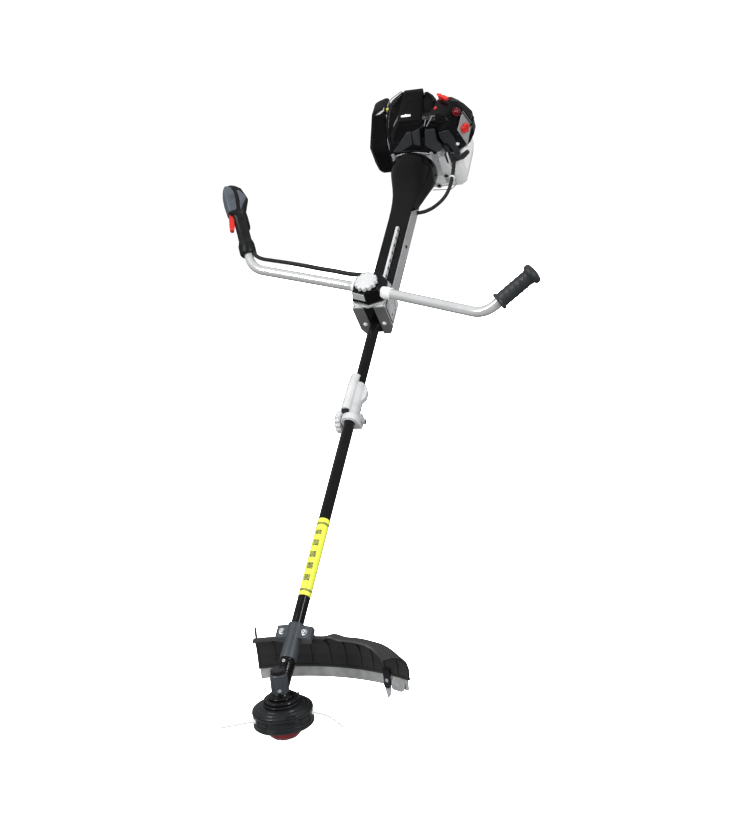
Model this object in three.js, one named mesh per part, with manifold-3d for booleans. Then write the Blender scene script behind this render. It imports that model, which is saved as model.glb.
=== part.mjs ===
// Petrol string trimmer with a bull-horn handlebar.
// Millimetres. World frame: origin where the bump knob touches the ground, +Z up along the head's spindle,
// the shaft rising toward +Y. Inside the shaft group: +X to the operator's right (the throttle side),
// +Y square up from the shaft, +Z along the shaft toward the engine.
import * as THREE from "three";
import { mergeVertices } from "three/addons/utils/BufferGeometryUtils.js";
import Module from "manifold-3d";

const wasm = await Module();
wasm.setup();

// ---------- driving dimensions ----------
const GAP = 0.3;
const SHAFT_TILT = 40;
const CROSSING_HEIGHT = 104;
const TUBE_RADIUS = 13;
const TUBE_WALL = 1.5;
const HEAD_RADIUS = 64;
const COUPLER_START = 698;
const COUPLER_END = 850;
const CLAMP_ALONG = 1064;
const BAR_UP = 83;
const BAR_RADIUS = 12;
const BAR_SWING = -17.4;
const BAR_CORNER = [352, 25, -25];
const GRIP_DIRECTION = new THREE.Vector3(0.6, 0.33, 0.73).normalize();
const FRAME_HALF = 30.5;
const FRAME_TOP = 19;
const FRAME_BOTTOM = -26;
const FRAME_START = 1026;
const FRAME_END = 1478;
const COVER_TOP = 22.5;
const BELL_RADIUS = 66;
const ENGINE_ALONG = 1612;
const CRANK_CENTRE = 68;
const SPROCKET = { pinion: 12, gear: 18 };
const RAD = Math.PI / 180;

// ---------- materials ----------
const finish = (color, roughness, metalness) => new THREE.MeshStandardMaterial({ color, roughness, metalness });
const glossBlack = () => finish(0x101113, 0.18, 0);
const mattBlack = () => finish(0x1a1b1d, 0.55, 0);
const satinGrey = () => finish(0x3d4043, 0.5, 0.1);
const darkSteel = () => finish(0x35383b, 0.4, 0.7);
const castAlloy = () => finish(0xb9bcc0, 0.45, 0.8);
const brightAlloy = () => finish(0xcfd2d6, 0.3, 0.9);
const steel = () => finish(0x9a9da1, 0.3, 1);
const rubber = () => finish(0x222325, 0.85, 0);
const red = () => finish(0xd8281e, 0.35, 0);
const darkRed = () => finish(0x7a0f14, 0.3, 0);
const palePlastic = () => finish(0xe9eaec, 0.4, 0);
const nylon = () => finish(0xdfe4e2, 0.35, 0);

// ---------- solid helpers ----------
function cleaned(geometry) {
  const bare = new THREE.BufferGeometry();
  bare.setAttribute("position", geometry.attributes.position.clone());
  if (geometry.index) bare.setIndex(geometry.index.clone());
  const merged = mergeVertices(bare, 1e-4);
  const index = merged.index.array;
  const kept = [];
  for (let i = 0; i < index.length; i += 3) {
    const [a, b, c] = [index[i], index[i + 1], index[i + 2]];
    if (a !== b && b !== c && a !== c) kept.push(a, b, c);
  }
  const at = (i) => new THREE.Vector3().fromBufferAttribute(merged.attributes.position, i);
  let volume = 0;
  for (let i = 0; i < kept.length; i += 3) volume += at(kept[i]).dot(at(kept[i + 1]).cross(at(kept[i + 2])));
  if (volume < 0) {
    for (let i = 0; i < kept.length; i += 3) [kept[i], kept[i + 1]] = [kept[i + 1], kept[i]];
  }
  merged.setIndex(kept);
  return merged;
}

function solid(geometry) {
  const clean = cleaned(geometry);
  const vertProperties = new Float32Array(clean.attributes.position.array);
  return new wasm.Manifold(new wasm.Mesh({ numProp: 3, vertProperties, triVerts: new Uint32Array(clean.index.array) }));
}

function geometryOf(manifold) {
  const mesh = manifold.getMesh();
  const geometry = new THREE.BufferGeometry();
  geometry.setAttribute("position", new THREE.BufferAttribute(mesh.vertProperties, 3));
  geometry.setIndex(new THREE.BufferAttribute(mesh.triVerts, 1));
  geometry.computeVertexNormals();
  return geometry;
}

const join = (...shapes) => geometryOf(shapes.map(solid).reduce((whole, piece) => whole.add(piece)));
const cut = (shape, ...tools) => geometryOf(tools.map(solid).reduce((whole, tool) => whole.subtract(tool), solid(shape)));

function node(name, geometry, material, parent) {
  const mesh = new THREE.Mesh(geometryOf(solid(geometry)), material);
  mesh.name = name;
  parent.add(mesh);
  return mesh;
}

// ---------- shape helpers ----------
const box = (low, high) => new THREE.BoxGeometry(high[0] - low[0], high[1] - low[1], high[2] - low[2])
  .translate((low[0] + high[0]) / 2, (low[1] + high[1]) / 2, (low[2] + high[2]) / 2);

const toX = (geometry) => geometry.rotateY(Math.PI / 2);
const toY = (geometry) => geometry.rotateX(-Math.PI / 2);

// A round piece about +Z from [radius, height] points.
const turned = (profile, sides = 24) => new THREE.LatheGeometry(profile.map(([r, h]) => new THREE.Vector2(r, h)), sides)
  .rotateX(Math.PI / 2);
const ring = (profile, sides) => turned([...profile, profile[0]], sides);
const rod = (radius, start, end, sides = 20) => turned([[0, start], [radius, start], [radius, end], [0, end]], sides);
const pipe = (inner, outer, start, end, sides) => ring([[inner, start], [outer, start], [outer, end], [inner, end]], sides);

// Prisms from an outline in two of the axes, pushed along the third.
const outline = (points) => new THREE.Shape(points.map(([x, y]) => new THREE.Vector2(x, y)));
const pushed = (shape, depth) => new THREE.ExtrudeGeometry(shape, { depth, bevelEnabled: false, curveSegments: 6 });
const prismZ = (points, start, end) => pushed(outline(points), end - start).translate(0, 0, start);
const prismX = (pointsZY, start, end) => pushed(outline(pointsZY.map(([z, y]) => [-z, y])), end - start)
  .rotateY(Math.PI / 2).translate(start, 0, 0);

// A skin through rings of equal count, closed by a fan at each end.
function loft(rings) {
  const count = rings[0].length;
  const middle = (points) => points.reduce((sum, p) => sum.add(p), new THREE.Vector3()).divideScalar(count);
  const points = [...rings.flat(), middle(rings[0]), middle(rings[rings.length - 1])];
  const index = [];
  for (let level = 0; level < rings.length - 1; level++) {
    for (let i = 0; i < count; i++) {
      const [a, b] = [level * count + i, level * count + (i + 1) % count];
      index.push(a, b, b + count, a, b + count, a + count);
    }
  }
  const last = (rings.length - 1) * count;
  for (let i = 0; i < count; i++) {
    index.push(points.length - 2, (i + 1) % count, i);
    index.push(points.length - 1, last + i, last + (i + 1) % count);
  }
  const geometry = new THREE.BufferGeometry().setFromPoints(points);
  geometry.setIndex(index);
  return geometry;
}

// A rounded section square to Z: power 2 is an ellipse, a high power is nearly a rectangle.
function section(z, half, low, high, power, count = 28) {
  const round = (value) => Math.sign(value) * Math.abs(value) ** (2 / power);
  return Array.from({ length: count }, (_, i) => {
    const angle = (i + 0.5) / count * Math.PI * 2;
    const y = (high + low) / 2 + (high - low) / 2 * round(Math.sin(angle));
    return new THREE.Vector3(half * round(Math.cos(angle)), y, z);
  });
}

// A rectangle with cut corners, in the plane square to one axis.
function cutCorners(u0, u1, v0, v1, corner) {
  return [[u0 + corner, v0], [u1 - corner, v0], [u1, v0 + corner], [u1, v1 - corner],
    [u1 - corner, v1], [u0 + corner, v1], [u0, v1 - corner], [u0, v0 + corner]];
}
const levelRing = (y, x0, x1, z0, z1, corner) => cutCorners(x0, x1, z0, z1, corner)
  .map(([x, z]) => new THREE.Vector3(x, y, z));
const sideRing = (x, y0, y1, z0, z1, corner) => cutCorners(y0, y1, z0, z1, corner)
  .map(([y, z]) => new THREE.Vector3(x, y, z));

// A rod, or a pipe where inner is given, swept along a smooth curve through the points.
function swept(points, radius, steps, sides, inner = 0) {
  const circle = (r, n) => Array.from({ length: n }, (_, i) => {
    const angle = i / n * Math.PI * 2;
    return new THREE.Vector2(r * Math.cos(angle), r * Math.sin(angle));
  });
  const shape = new THREE.Shape(circle(radius, sides));
  if (inner > 0) shape.holes.push(new THREE.Path(circle(inner, sides)));
  const path = new THREE.CatmullRomCurve3(points.map((p) => new THREE.Vector3(...p)), false, "centripetal");
  return new THREE.ExtrudeGeometry(shape, { steps, extrudePath: path, bevelEnabled: false });
}

const trimmer = new THREE.Group();
const shaft = new THREE.Group();
shaft.position.set(0, 0, CROSSING_HEIGHT);
shaft.quaternion.setFromRotationMatrix(new THREE.Matrix4().makeBasis(
  new THREE.Vector3(-1, 0, 0),
  new THREE.Vector3(0, -Math.sin(SHAFT_TILT * RAD), Math.cos(SHAFT_TILT * RAD)),
  new THREE.Vector3(0, Math.cos(SHAFT_TILT * RAD), Math.sin(SHAFT_TILT * RAD)),
));
trimmer.add(shaft);

// ---------- cutting head, about the spindle axis ----------
const SHELL_JOINT = 55;
const LINE_EXIT_HEIGHT = 48;
const LINE_EXITS = [17, 221];
const SPOOL_TOP = 59;

function bumpKnob() {
  return turned([[0, 0], [14, 0], [23, 4], [28, 12], [29, 24], [29, 39.6], [10, 39.6], [10, 51.5], [0, 51.5]], 28);
}

function spool() {
  const lip = 49;
  return ring([[10.3, 40], [lip, 40], [lip, 42], [22, 42], [22, SPOOL_TOP - 2], [lip, SPOOL_TOP - 2], [lip, SPOOL_TOP],
    [13, SPOOL_TOP], [13, 51.5], [10.3, 51.5]], 28);
}

function bumpSpring() {
  const turns = 2.5;
  const points = Array.from({ length: 26 }, (_, i) => {
    const angle = i / 25 * turns * Math.PI * 2;
    return [16.5 * Math.cos(angle), 16.5 * Math.sin(angle), SPOOL_TOP + 1.8 + i / 25 * 6.2];
  });
  return swept(points, 1.2, 50, 5);
}

function headCover() {
  const rim = HEAD_RADIUS;
  const shell = ring([[30, 31], [rim - 6, 31], [rim, 34], [rim, 42], [61, 44], [61, SHELL_JOINT],
    [58, SHELL_JOINT], [58, 37], [30, 37]], 36);
  const exits = LINE_EXITS.map((angle) => toX(rod(3.6, 50, 70, 10)).rotateZ(angle * RAD)
    .translate(0, 0, LINE_EXIT_HEIGHT));
  return cut(shell, ...exits);
}

function headShell() {
  const rim = HEAD_RADIUS;
  return ring([[5.4, 58.5], [12, 58.5], [12, 69], [38, 69], [56, 65.5], [59, 62], [59, SHELL_JOINT + GAP],
    [61, SHELL_JOINT + GAP], [rim, 58.5], [rim, 64], [60, 69], [40, 74], [5.4, 74]], 36);
}

// The wound line in the spool, with its two free ends out through the eyelets.
function trimmerLine() {
  const wound = pipe(24, 46, 48.6, 55.4, 28);
  const free = LINE_EXITS.map((angle, i) => {
    const out = new THREE.Vector3(Math.cos(angle * RAD), Math.sin(angle * RAD), 0);
    const side = new THREE.Vector3(out.y, -out.x, 0);
    const reach = [[43, 0, 50.5], [60, 0, LINE_EXIT_HEIGHT], [82, i ? 10 : 4, 45], [104, i ? 28 : 14, 38],
      [126, i ? 54 : 34, 28]];
    return swept(reach.map(([r, s, z]) => [out.x * r + side.x * s, out.y * r + side.y * s, z]), 1.3, 12, 6);
  });
  return join(wound, ...free);
}

function holderDiscs() {
  return ring([[5.4, 74.4], [38, 74.4], [38.5, 76], [38, 79], [29, 80.5], [29, 82], [36, 82], [37, 84.5], [36, 87],
    [16, 88], [5.4, 88]], 32);
}

// Bevel pair: the cones share the crossing point, and their slopes follow from the tooth counts.
const AXIS_ANGLE = (90 - SHAFT_TILT) * RAD;
const GEAR_CONE = Math.atan2(Math.sin(AXIS_ANGLE), SPROCKET.pinion / SPROCKET.gear + Math.cos(AXIS_ANGLE));
const PINION_CONE = AXIS_ANGLE - GEAR_CONE;

function bevel(cone, teeth, bore, near, far, lift) {
  const [r0, h0, r1, h1] = [near * Math.sin(cone), near * Math.cos(cone), far * Math.sin(cone), far * Math.cos(cone)];
  const blank = [[bore, h0 + lift], [r0, h0 + lift], [r1, h1 + lift], [r1 - 1.5, h1 + 3 + lift], [bore, h1 + 3 + lift]];
  const body = bore > 0 ? ring(blank, teeth * 2) : turned(blank, teeth * 2);
  const slots = Array.from({ length: teeth }, (_, i) => new THREE.BoxGeometry(1.3, 1.2, far * 1.6)
    .rotateY(cone).translate((r0 + r1) / 2 + 0.3, 0, (h0 + h1) / 2 + lift).rotateZ(i / teeth * Math.PI * 2));
  return { body, slots };
}

function outputShaft() {
  const { body, slots } = bevel(GEAR_CONE, SPROCKET.gear, 0, 19, 28, 0.7);
  const gear = geometryOf(slots.map(solid).reduce((whole, slot) => whole.subtract(slot), solid(body)));
  gear.translate(0, 0, CROSSING_HEIGHT);
  return join(gear, rod(5, 60, CROSSING_HEIGHT + 31, 16));
}

function gearCase() {
  const tower = turned([[0, 96], [18, 96], [18, 138], [16, 141], [0, 141]], 28);
  const flange = turned([[0, 89], [28, 89], [28, 93], [22, 97], [0, 97]], 28);
  const tilt = (geometry) => geometry.rotateX(-(90 - SHAFT_TILT) * RAD).translate(0, 0, CROSSING_HEIGHT);
  const neck = tilt(turned([[0, 4], [17, 4], [17, 50], [18.5, 52], [18.5, 64], [0, 64]], 24));
  const tubeSocket = tilt(rod(TUBE_RADIUS + GAP, 40, 70, 24));
  const pinionRoom = tilt(rod(11.2, 9, 42, 20));
  const gearRoom = rod(15.4, 112, 137, 24);
  const spindleBore = rod(6, 80, 114, 16);
  return cut(join(tower, flange, neck), tubeSocket, pinionRoom, gearRoom, spindleBore);
}

function buildHead() {
  node("bump_knob", bumpKnob(), darkRed(), trimmer);
  node("spool", spool(), mattBlack(), trimmer);
  node("bump_spring", bumpSpring(), steel(), trimmer);
  node("head_cover", headCover(), mattBlack(), trimmer);
  node("head_shell", headShell(), mattBlack(), trimmer);
  node("trimmer_line", trimmerLine(), nylon(), trimmer);
  node("holder_discs", holderDiscs(), darkSteel(), trimmer);
  node("output_shaft", outputShaft(), steel(), trimmer);
  node("gear_case", gearCase(), satinGrey(), trimmer);
}

// ---------- guard, a curved wall behind the head ----------
const GUARD_CENTRE = [40, -250];
const GUARD_RADIUS = 432;
const GUARD_FROM = 112;
const GUARD_TO = 62.5;
const GUARD_FOOT = 80;
const GUARD_STEPS = 14;

function alongGuard(points, from, to, steps, crown = () => 1) {
  const rings = Array.from({ length: steps + 1 }, (_, i) => {
    const share = i / steps;
    const angle = (from + (to - from) * share) * RAD;
    return points.map(([reach, z]) => {
      const height = GUARD_FOOT + (z - GUARD_FOOT) * (z > GUARD_FOOT ? crown(share) : 1);
      return new THREE.Vector3(GUARD_CENTRE[0] + reach * Math.cos(angle), GUARD_CENTRE[1] + reach * Math.sin(angle), height);
    });
  });
  return sideways(rings);
}

// Rings whose outline is not convex are closed with triangulated ends instead of fans.
function sideways(rings) {
  const count = rings[0].length;
  const flat = (points) => points.map((p) => new THREE.Vector2(Math.hypot(p.x - GUARD_CENTRE[0], p.y - GUARD_CENTRE[1]), p.z));
  const index = [];
  for (let level = 0; level < rings.length - 1; level++) {
    for (let i = 0; i < count; i++) {
      const [a, b] = [level * count + i, level * count + (i + 1) % count];
      index.push(a, b, b + count, a, b + count, a + count);
    }
  }
  const last = (rings.length - 1) * count;
  const face = THREE.ShapeUtils.triangulateShape(flat(rings[0]), []);
  const turn = THREE.ShapeUtils.isClockWise(flat(rings[0]));
  const start = turn ? face : face.map(([a, b, c]) => [a, c, b]);
  for (const [a, b, c] of start) {
    index.push(a, b, c);
    index.push(last + a, last + c, last + b);
  }
  const geometry = new THREE.BufferGeometry().setFromPoints(rings.flat());
  geometry.setIndex(index);
  return geometry;
}

function guard() {
  const r = GUARD_RADIUS;
  const wall = [[r, GUARD_FOOT], [r + 1, 111], [r - 5, 136], [r - 20, 155], [r - 42, 167], [r - 58, 171], [r - 68, 172],
    [r - 68, 169], [r - 57, 168], [r - 40.5, 164], [r - 22, 152.5], [r - 8, 134], [r - 2, 111], [r - 3, GUARD_FOOT]];
  const crown = (share) => 1 - 0.06 * Math.max(0, share - 0.6) / 0.4 - 0.2 * Math.max(0, share - 0.92) / 0.08;
  const pad = box([-30, 120, 160], [30, 134, 172.4]);
  return join(alongGuard(wall, GUARD_FROM, GUARD_TO, GUARD_STEPS, crown), pad);
}

function guardSkirt() {
  const r = GUARD_RADIUS;
  const hem = GUARD_FOOT - 24;
  const strip = [[r - 0.2, hem], [r - 0.2, GUARD_FOOT - GAP], [r - 3, GUARD_FOOT - GAP], [r - 3, hem]];
  return alongGuard(strip, GUARD_FROM + 0.4, GUARD_TO + 0.6, GUARD_STEPS);
}

function lineCutter() {
  const blade = [[-9, 86], [9, 86], [9, 52], [3, 30], [-3, 26], [-9, 48]];
  const angle = 70.5 * RAD;
  return pushed(outline(blade), 2).rotateX(Math.PI / 2).rotateZ(angle - Math.PI / 2)
    .translate(GUARD_CENTRE[0] + (GUARD_RADIUS - 4) * Math.cos(angle), GUARD_CENTRE[1] + (GUARD_RADIUS - 4) * Math.sin(angle), 0);
}

function guardClamp() {
  const sleeve = pipe(TUBE_RADIUS + GAP, 18, 68, 150, 24);
  const wings = box([-40, -9, 116], [40, 9, 142]);
  const bolts = [-24, 24].map((x) => toY(rod(3.3, -20, 20, 10)).translate(x, 0, 129));
  return cut(join(sleeve, wings), rod(TUBE_RADIUS + GAP, 60, 160), ...bolts);
}

function buildGuard() {
  node("guard", guard(), mattBlack(), trimmer);
  node("guard_skirt", guardSkirt(), finish(0x8d9296, 0.5, 0), trimmer);
  node("line_cutter", lineCutter(), steel(), trimmer);
  node("guard_clamp", guardClamp(), satinGrey(), shaft);
}

// ---------- tubes, drive shaft and coupler ----------
const COUPLER_SPLIT = 772;
const CROSS_BOLT = { up: -20, along: 718 };

function buildTubes() {
  const inner = TUBE_RADIUS - TUBE_WALL;
  node("lower_tube", pipe(inner, TUBE_RADIUS, 41, COUPLER_SPLIT, 24), glossBlack(), shaft);
  node("upper_tube", pipe(inner, TUBE_RADIUS, COUPLER_SPLIT + 1, 1552, 24), glossBlack(), shaft);
  node("drive_shaft", rod(4, 14, 1568, 10), steel(), shaft);
  const { body, slots } = bevel(PINION_CONE, SPROCKET.pinion, 4.3, 19, 28, 0);
  node("pinion_gear", cut(body, ...slots), steel(), shaft);
  const drum = ring([[4.3, 1556], [10, 1556], [10, 1562], [41, 1562], [41, 1598], [39, 1598], [39, 1565], [4.3, 1565]], 28);
  node("clutch_drum", drum, darkSteel(), shaft);
}

function couplerBody() {
  const sleeve = turned([[0, COUPLER_START], [19, COUPLER_START], [20.5, COUPLER_START + 4], [20.5, COUPLER_END - 8],
    [18, COUPLER_END], [0, COUPLER_END]], 24);
  const lobe = prismZ(cutCorners(-6, 30, -14, 14, 7), 752, COUPLER_END - 12);
  const wing = prismX([[776, -8], [776, 8], [806, 8], [812, -2], [806, -8]], -32, -10);
  const ears = prismX([[702, -10], [734, -10], [732, -30], [704, -30]], -22, 22);
  const bore = rod(TUBE_RADIUS + GAP, COUPLER_START - 5, COUPLER_END + 5, 24);
  const split = box([-1.2, -40, COUPLER_START - 5], [1.2, -5, COUPLER_SPLIT - 32]);
  const slot = box([4, -30, 739], [40, 30, 744]);
  const boltHole = toX(rod(4.6, -40, 40, 12)).translate(0, CROSS_BOLT.up, CROSS_BOLT.along);
  return cut(join(sleeve, lobe, wing, ears), bore, split, slot, boltHole);
}

function couplerBolt() {
  const bolt = join(toX(rod(4, -31, 38, 12)), toX(rod(7, -31, -22.6, 6)));
  return bolt.translate(0, CROSS_BOLT.up, CROSS_BOLT.along);
}

// A grip disc about Z whose edge has finger scallops.
function scalloped(radius, depth, lobes, from, to) {
  const count = lobes * 4;
  const points = Array.from({ length: count }, (_, i) => {
    const angle = i / count * Math.PI * 2;
    const r = radius - depth / 2 + depth / 2 * Math.cos(angle * lobes);
    return [r * Math.cos(angle), r * Math.sin(angle)];
  });
  return prismZ(points, from, to);
}

function buildCoupler() {
  node("coupler_body", couplerBody(), castAlloy(), shaft);
  node("coupler_bolt", couplerBolt(), steel(), shaft);
  const knob = cut(join(scalloped(27, 3, 14, 25, 41), rod(11, 22.4, 26, 16)), rod(4.3, 10, 38.5, 12));
  node("coupler_knob", toX(knob).translate(0, CROSS_BOLT.up, CROSS_BOLT.along), brightAlloy(), shaft);
}

// ---------- frame channel, cover and harness rail ----------
const BUSH_START = 1440;
const RAIL = { x: -8, start: 1119, end: 1346, holes: 8 };

function longCover() {
  const power = 10;
  const front = 1112;
  const plate = box([-FRAME_HALF, FRAME_TOP + GAP, front], [FRAME_HALF, COVER_TOP, 1486]);
  const bell = loft([
    section(FRAME_END + 2, FRAME_HALF, FRAME_BOTTOM, COVER_TOP, power),
    section(1520, 38, -25, 31, 5),
    section(1558, 53, -48, 52, 3),
    section(1590, 64.5, -64, 65, 2.2),
    section(ENGINE_ALONG - 1, BELL_RADIUS, -BELL_RADIUS, BELL_RADIUS, 2),
  ]);
  const room = loft([
    section(1502, 30, -18, 23, 5),
    section(1558, 49, -44, 48, 3),
    section(1590, 60.5, -60, 61, 2.2),
    section(ENGINE_ALONG, 62.5, -62.5, 62.5, 2),
  ]);
  return cut(join(plate, bell), room, rod(TUBE_RADIUS + GAP, 1470, 1520));
}

function frameChannel() {
  const wall = 3;
  const outer = box([-FRAME_HALF, FRAME_BOTTOM, FRAME_START], [FRAME_HALF, FRAME_TOP, FRAME_END]);
  const inner = box([-FRAME_HALF + wall, FRAME_BOTTOM + wall, FRAME_START - 5], [FRAME_HALF - wall, 40, FRAME_END + 5]);
  return cut(outer, inner);
}

function shaftBush() {
  const half = FRAME_HALF - 3 - GAP;
  const block = box([-half, FRAME_BOTTOM + 3 + GAP, BUSH_START], [half, FRAME_TOP - GAP, BUSH_START + 30]);
  return cut(block, rod(TUBE_RADIUS + GAP, BUSH_START - 5, BUSH_START + 35));
}

function harnessRail() {
  const base = COVER_TOP + GAP;
  const foot = box([RAIL.x - 5, base, RAIL.start], [RAIL.x + 5, base + 2.5, RAIL.end]);
  const web = box([RAIL.x - 1.5, base + 1, RAIL.start], [RAIL.x + 1.5, base + 14, RAIL.end]);
  const pitch = (RAIL.end - RAIL.start) / RAIL.holes;
  const holes = Array.from({ length: RAIL.holes }, (_, i) => toX(rod(4, -5, 5, 12))
    .translate(RAIL.x, base + 8, RAIL.start + pitch * (i + 0.5)));
  return cut(join(foot, web), ...holes);
}

function buildFrame() {
  node("long_cover", longCover(), glossBlack(), shaft);
  node("frame_channel", frameChannel(), brightAlloy(), shaft);
  node("shaft_bush", shaftBush(), rubber(), shaft);
  node("harness_rail", harnessRail(), brightAlloy(), shaft);
}

// ---------- handlebar clamp ----------
const BASE = { half: 43, low: -34, top: 61, start: 1024, end: 1104 };
const CAP = { half: 40, low: 68.3, top: 102, front: -42, back: 44 };
const clampGroup = new THREE.Group();
clampGroup.position.set(0, 0, CLAMP_ALONG);
shaft.add(clampGroup);
const barGroup = new THREE.Group();
barGroup.position.set(0, BAR_UP, 0);
barGroup.rotation.y = BAR_SWING * RAD;
clampGroup.add(barGroup);

function clampBase() {
  const { half, low, top, start, end } = BASE;
  const block = prismZ([[-half, top], [-half, -16], [-34, low], [34, low], [half, -16], [half, top]], start, end);
  const channelRoom = box([-FRAME_HALF - GAP, FRAME_BOTTOM - GAP, start - 5], [FRAME_HALF + GAP, FRAME_TOP + GAP, end + 5]);
  const hollow = box([-half + 5, FRAME_TOP + 5, start - 5], [half - 5, top - 6, end + 5]);
  const boltHole = toY(rod(4.6, 40, 70, 12)).translate(0, 0, CLAMP_ALONG);
  return cut(block, channelRoom, hollow, boltHole);
}

function frontPlate() {
  const { half, top, start } = BASE;
  const plate = prismZ([[-half, top], [-half, -17], [-33, -37], [33, -37], [half, -17], [half, top]], start - 4, start - GAP);
  const slot = join(box([-15, 0, start - 9], [15, top + 5, start + 5]), rod(15, start - 9, start + 5));
  return cut(plate, slot);
}

// Cap and jaw share an outline in plan with a shallow V front.
const capPlan = (half, front, back) => [[-half + 8, back], [-half, back - 10], [-half, front + 14], [0, front],
  [half, front + 14], [half, back - 10], [half - 8, back]];
function planPrism(points, low, high) {
  return pushed(outline(points.map(([x, z]) => [x, -z])), high - low).rotateX(-Math.PI / 2).translate(0, low, 0);
}

function barTunnel(radius) {
  return toX(rod(radius, -90, 90, 20)).rotateY(BAR_SWING * RAD).translate(0, BAR_UP, 0);
}
const boltRoom = () => toY(rod(4.6, 50, 130, 12));

function clampJaw() {
  const plate = planPrism(capPlan(BASE.half, CAP.front - 2, CAP.back), BASE.top + GAP, CAP.low - GAP);
  const saddle = box([-24, CAP.low - 2, -20], [24, BAR_UP - 2, 20]);
  return cut(join(plate, saddle), barTunnel(BAR_RADIUS + GAP), boltRoom());
}

function clampCap() {
  const { half, low, top, front, back } = CAP;
  const plan = (scale) => capPlan(half * scale, front * scale, back * scale);
  const level = (y, scale) => plan(scale).map(([x, z]) => new THREE.Vector3(x, y, z));
  const shell = loft([level(low, 1), level(low + 12, 1.02), level(top - 8, 0.88), level(top, 0.72)]);
  const room = box([-26, low - 5, -24], [26, BAR_UP + 4, 24]);
  return cut(shell, room, barTunnel(BAR_RADIUS + GAP), boltRoom());
}

function clampKnob() {
  const knob = join(scalloped(30, 3.4, 16, CAP.top + 3, CAP.top + 17), rod(16, CAP.top + 0.4, CAP.top + 4, 20));
  return toY(cut(knob, rod(4.4, CAP.top - 5, CAP.top + 13, 12)));
}

function clampBolt() {
  return toY(join(rod(4, 50, CAP.top + 12, 12), rod(7.5, 49, 54.6, 6)));
}

function buildClamp() {
  node("clamp_base", clampBase(), castAlloy(), shaft);
  node("front_plate", frontPlate(), satinGrey(), shaft);
  node("clamp_bolt", clampBolt(), steel(), clampGroup);
  node("clamp_jaw", clampJaw(), brightAlloy(), clampGroup);
  node("clamp_cap", clampCap(), glossBlack(), clampGroup);
  node("clamp_knob", clampKnob(), brightAlloy(), clampGroup);
}

// ---------- handlebar, grips and throttle ----------
const RIGHT_BAR_END = 150;
const GRIP_START = 44;
const GRIP_LENGTH = 108;

// A point past the bend on either side, measured from the bend's corner along the grip.
function onGrip(side, reach) {
  const g = GRIP_DIRECTION;
  return [side * (BAR_CORNER[0] + g.x * reach), BAR_CORNER[1] + g.y * reach, BAR_CORNER[2] + g.z * reach];
}

function onArm(side, share) {
  return [side * (60 + (BAR_CORNER[0] - 60) * share), BAR_CORNER[1] * share, BAR_CORNER[2] * share];
}

function handlebar() {
  const half = (side) => [onArm(side, 0.16), onArm(side, 0.5), onArm(side, 0.86), onArm(side, 0.95), onGrip(side, 15),
    onGrip(side, 30), onGrip(side, 90), onGrip(side, RIGHT_BAR_END)];
  const points = [...half(-1).reverse(), [-66, 0, 0], [-44, 0, 0], [44, 0, 0], [66, 0, 0], ...half(1)];
  const bar = swept(points, BAR_RADIUS, 58, 12, BAR_RADIUS - 2);
  return cut(bar, toY(rod(4.6, -20, 20, 10)));
}

function gripFrame(side) {
  const along = new THREE.Vector3(side * GRIP_DIRECTION.x, GRIP_DIRECTION.y, GRIP_DIRECTION.z);
  const front = new THREE.Vector3(0, 0, -1).addScaledVector(along, along.z).normalize();
  const across = new THREE.Vector3().crossVectors(front, along);
  const group = new THREE.Group();
  group.position.set(side * BAR_CORNER[0], BAR_CORNER[1], BAR_CORNER[2]);
  group.quaternion.setFromRotationMatrix(new THREE.Matrix4().makeBasis(across, front, along));
  barGroup.add(group);
  return group;
}

function plainGrip() {
  const [from, to] = [GRIP_START, GRIP_START + GRIP_LENGTH];
  const bore = BAR_RADIUS + GAP;
  return turned([[bore, from], [22, from], [22, from + 5], [17, from + 9], [16.5, to - 30], [18, to - 14], [24, to - 11],
    [25, to - 5], [22, to + 2], [0, to + 4], [0, RIGHT_BAR_END + GAP], [bore, RIGHT_BAR_END + GAP], [bore, from]], 24);
}

function throttleHousing() {
  const shell = loft([
    section(43, 19, -19, 19, 2),
    section(48, 22, -22, 22, 2),
    section(80, 21, -21, 21, 2),
    section(92, 17, -18, 17, 2.2),
    section(130, 16.5, -18, 17, 2.4),
    section(165, 17, -19, 18, 2.6),
    section(182, 21, -21, 26, 3),
    section(215, 24, -36, 29, 3),
    section(250, 22, -26, 27, 3),
    section(268, 12, -8, 18, 2.4),
  ]);
  const barRoom = rod(BAR_RADIUS + GAP, 30, RIGHT_BAR_END + 2);
  const triggerSlot = box([-6, 12.6, 106], [6, 50, 178]);
  const lockSlot = box([-5.5, -40, 116], [5.5, -13, 190]);
  const switchSlot = box([-40, 2, 206], [-19, 16, 236]);
  return cut(shell, barRoom, triggerSlot, lockSlot, switchSlot);
}

function throttleTrigger() {
  return prismX([[176, 15], [176, 22], [166, 25], [148, 28.5], [126, 31], [109, 30], [109, 25], [128, 24],
    [150, 19], [162, 15]], -5.5, 5.5);
}

function lockoutLever() {
  return prismX([[188, -15], [188, -22], [160, -27], [126, -28], [120, -24], [124, -20.5], [160, -19], [176, -15]], -5, 5);
}

function stopSwitch() {
  return prismX([[212, 4], [212, 14], [218, 14], [230, 14], [230, 4]], -27, -19.5);
}

// The sleeve hangs from the throttle housing to the cap in one shallow sag.
const THROTTLE_CABLE = [[362, 43.6, 16.1], [355.6, 40.4, 9.1], [338, 33, 8], [310, 26, 14], [262, 19, 22],
  [214, 15, 26], [166, 12, 28], [118, 11, 30], [82, 12, 33], [60, 13, 36]];

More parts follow.
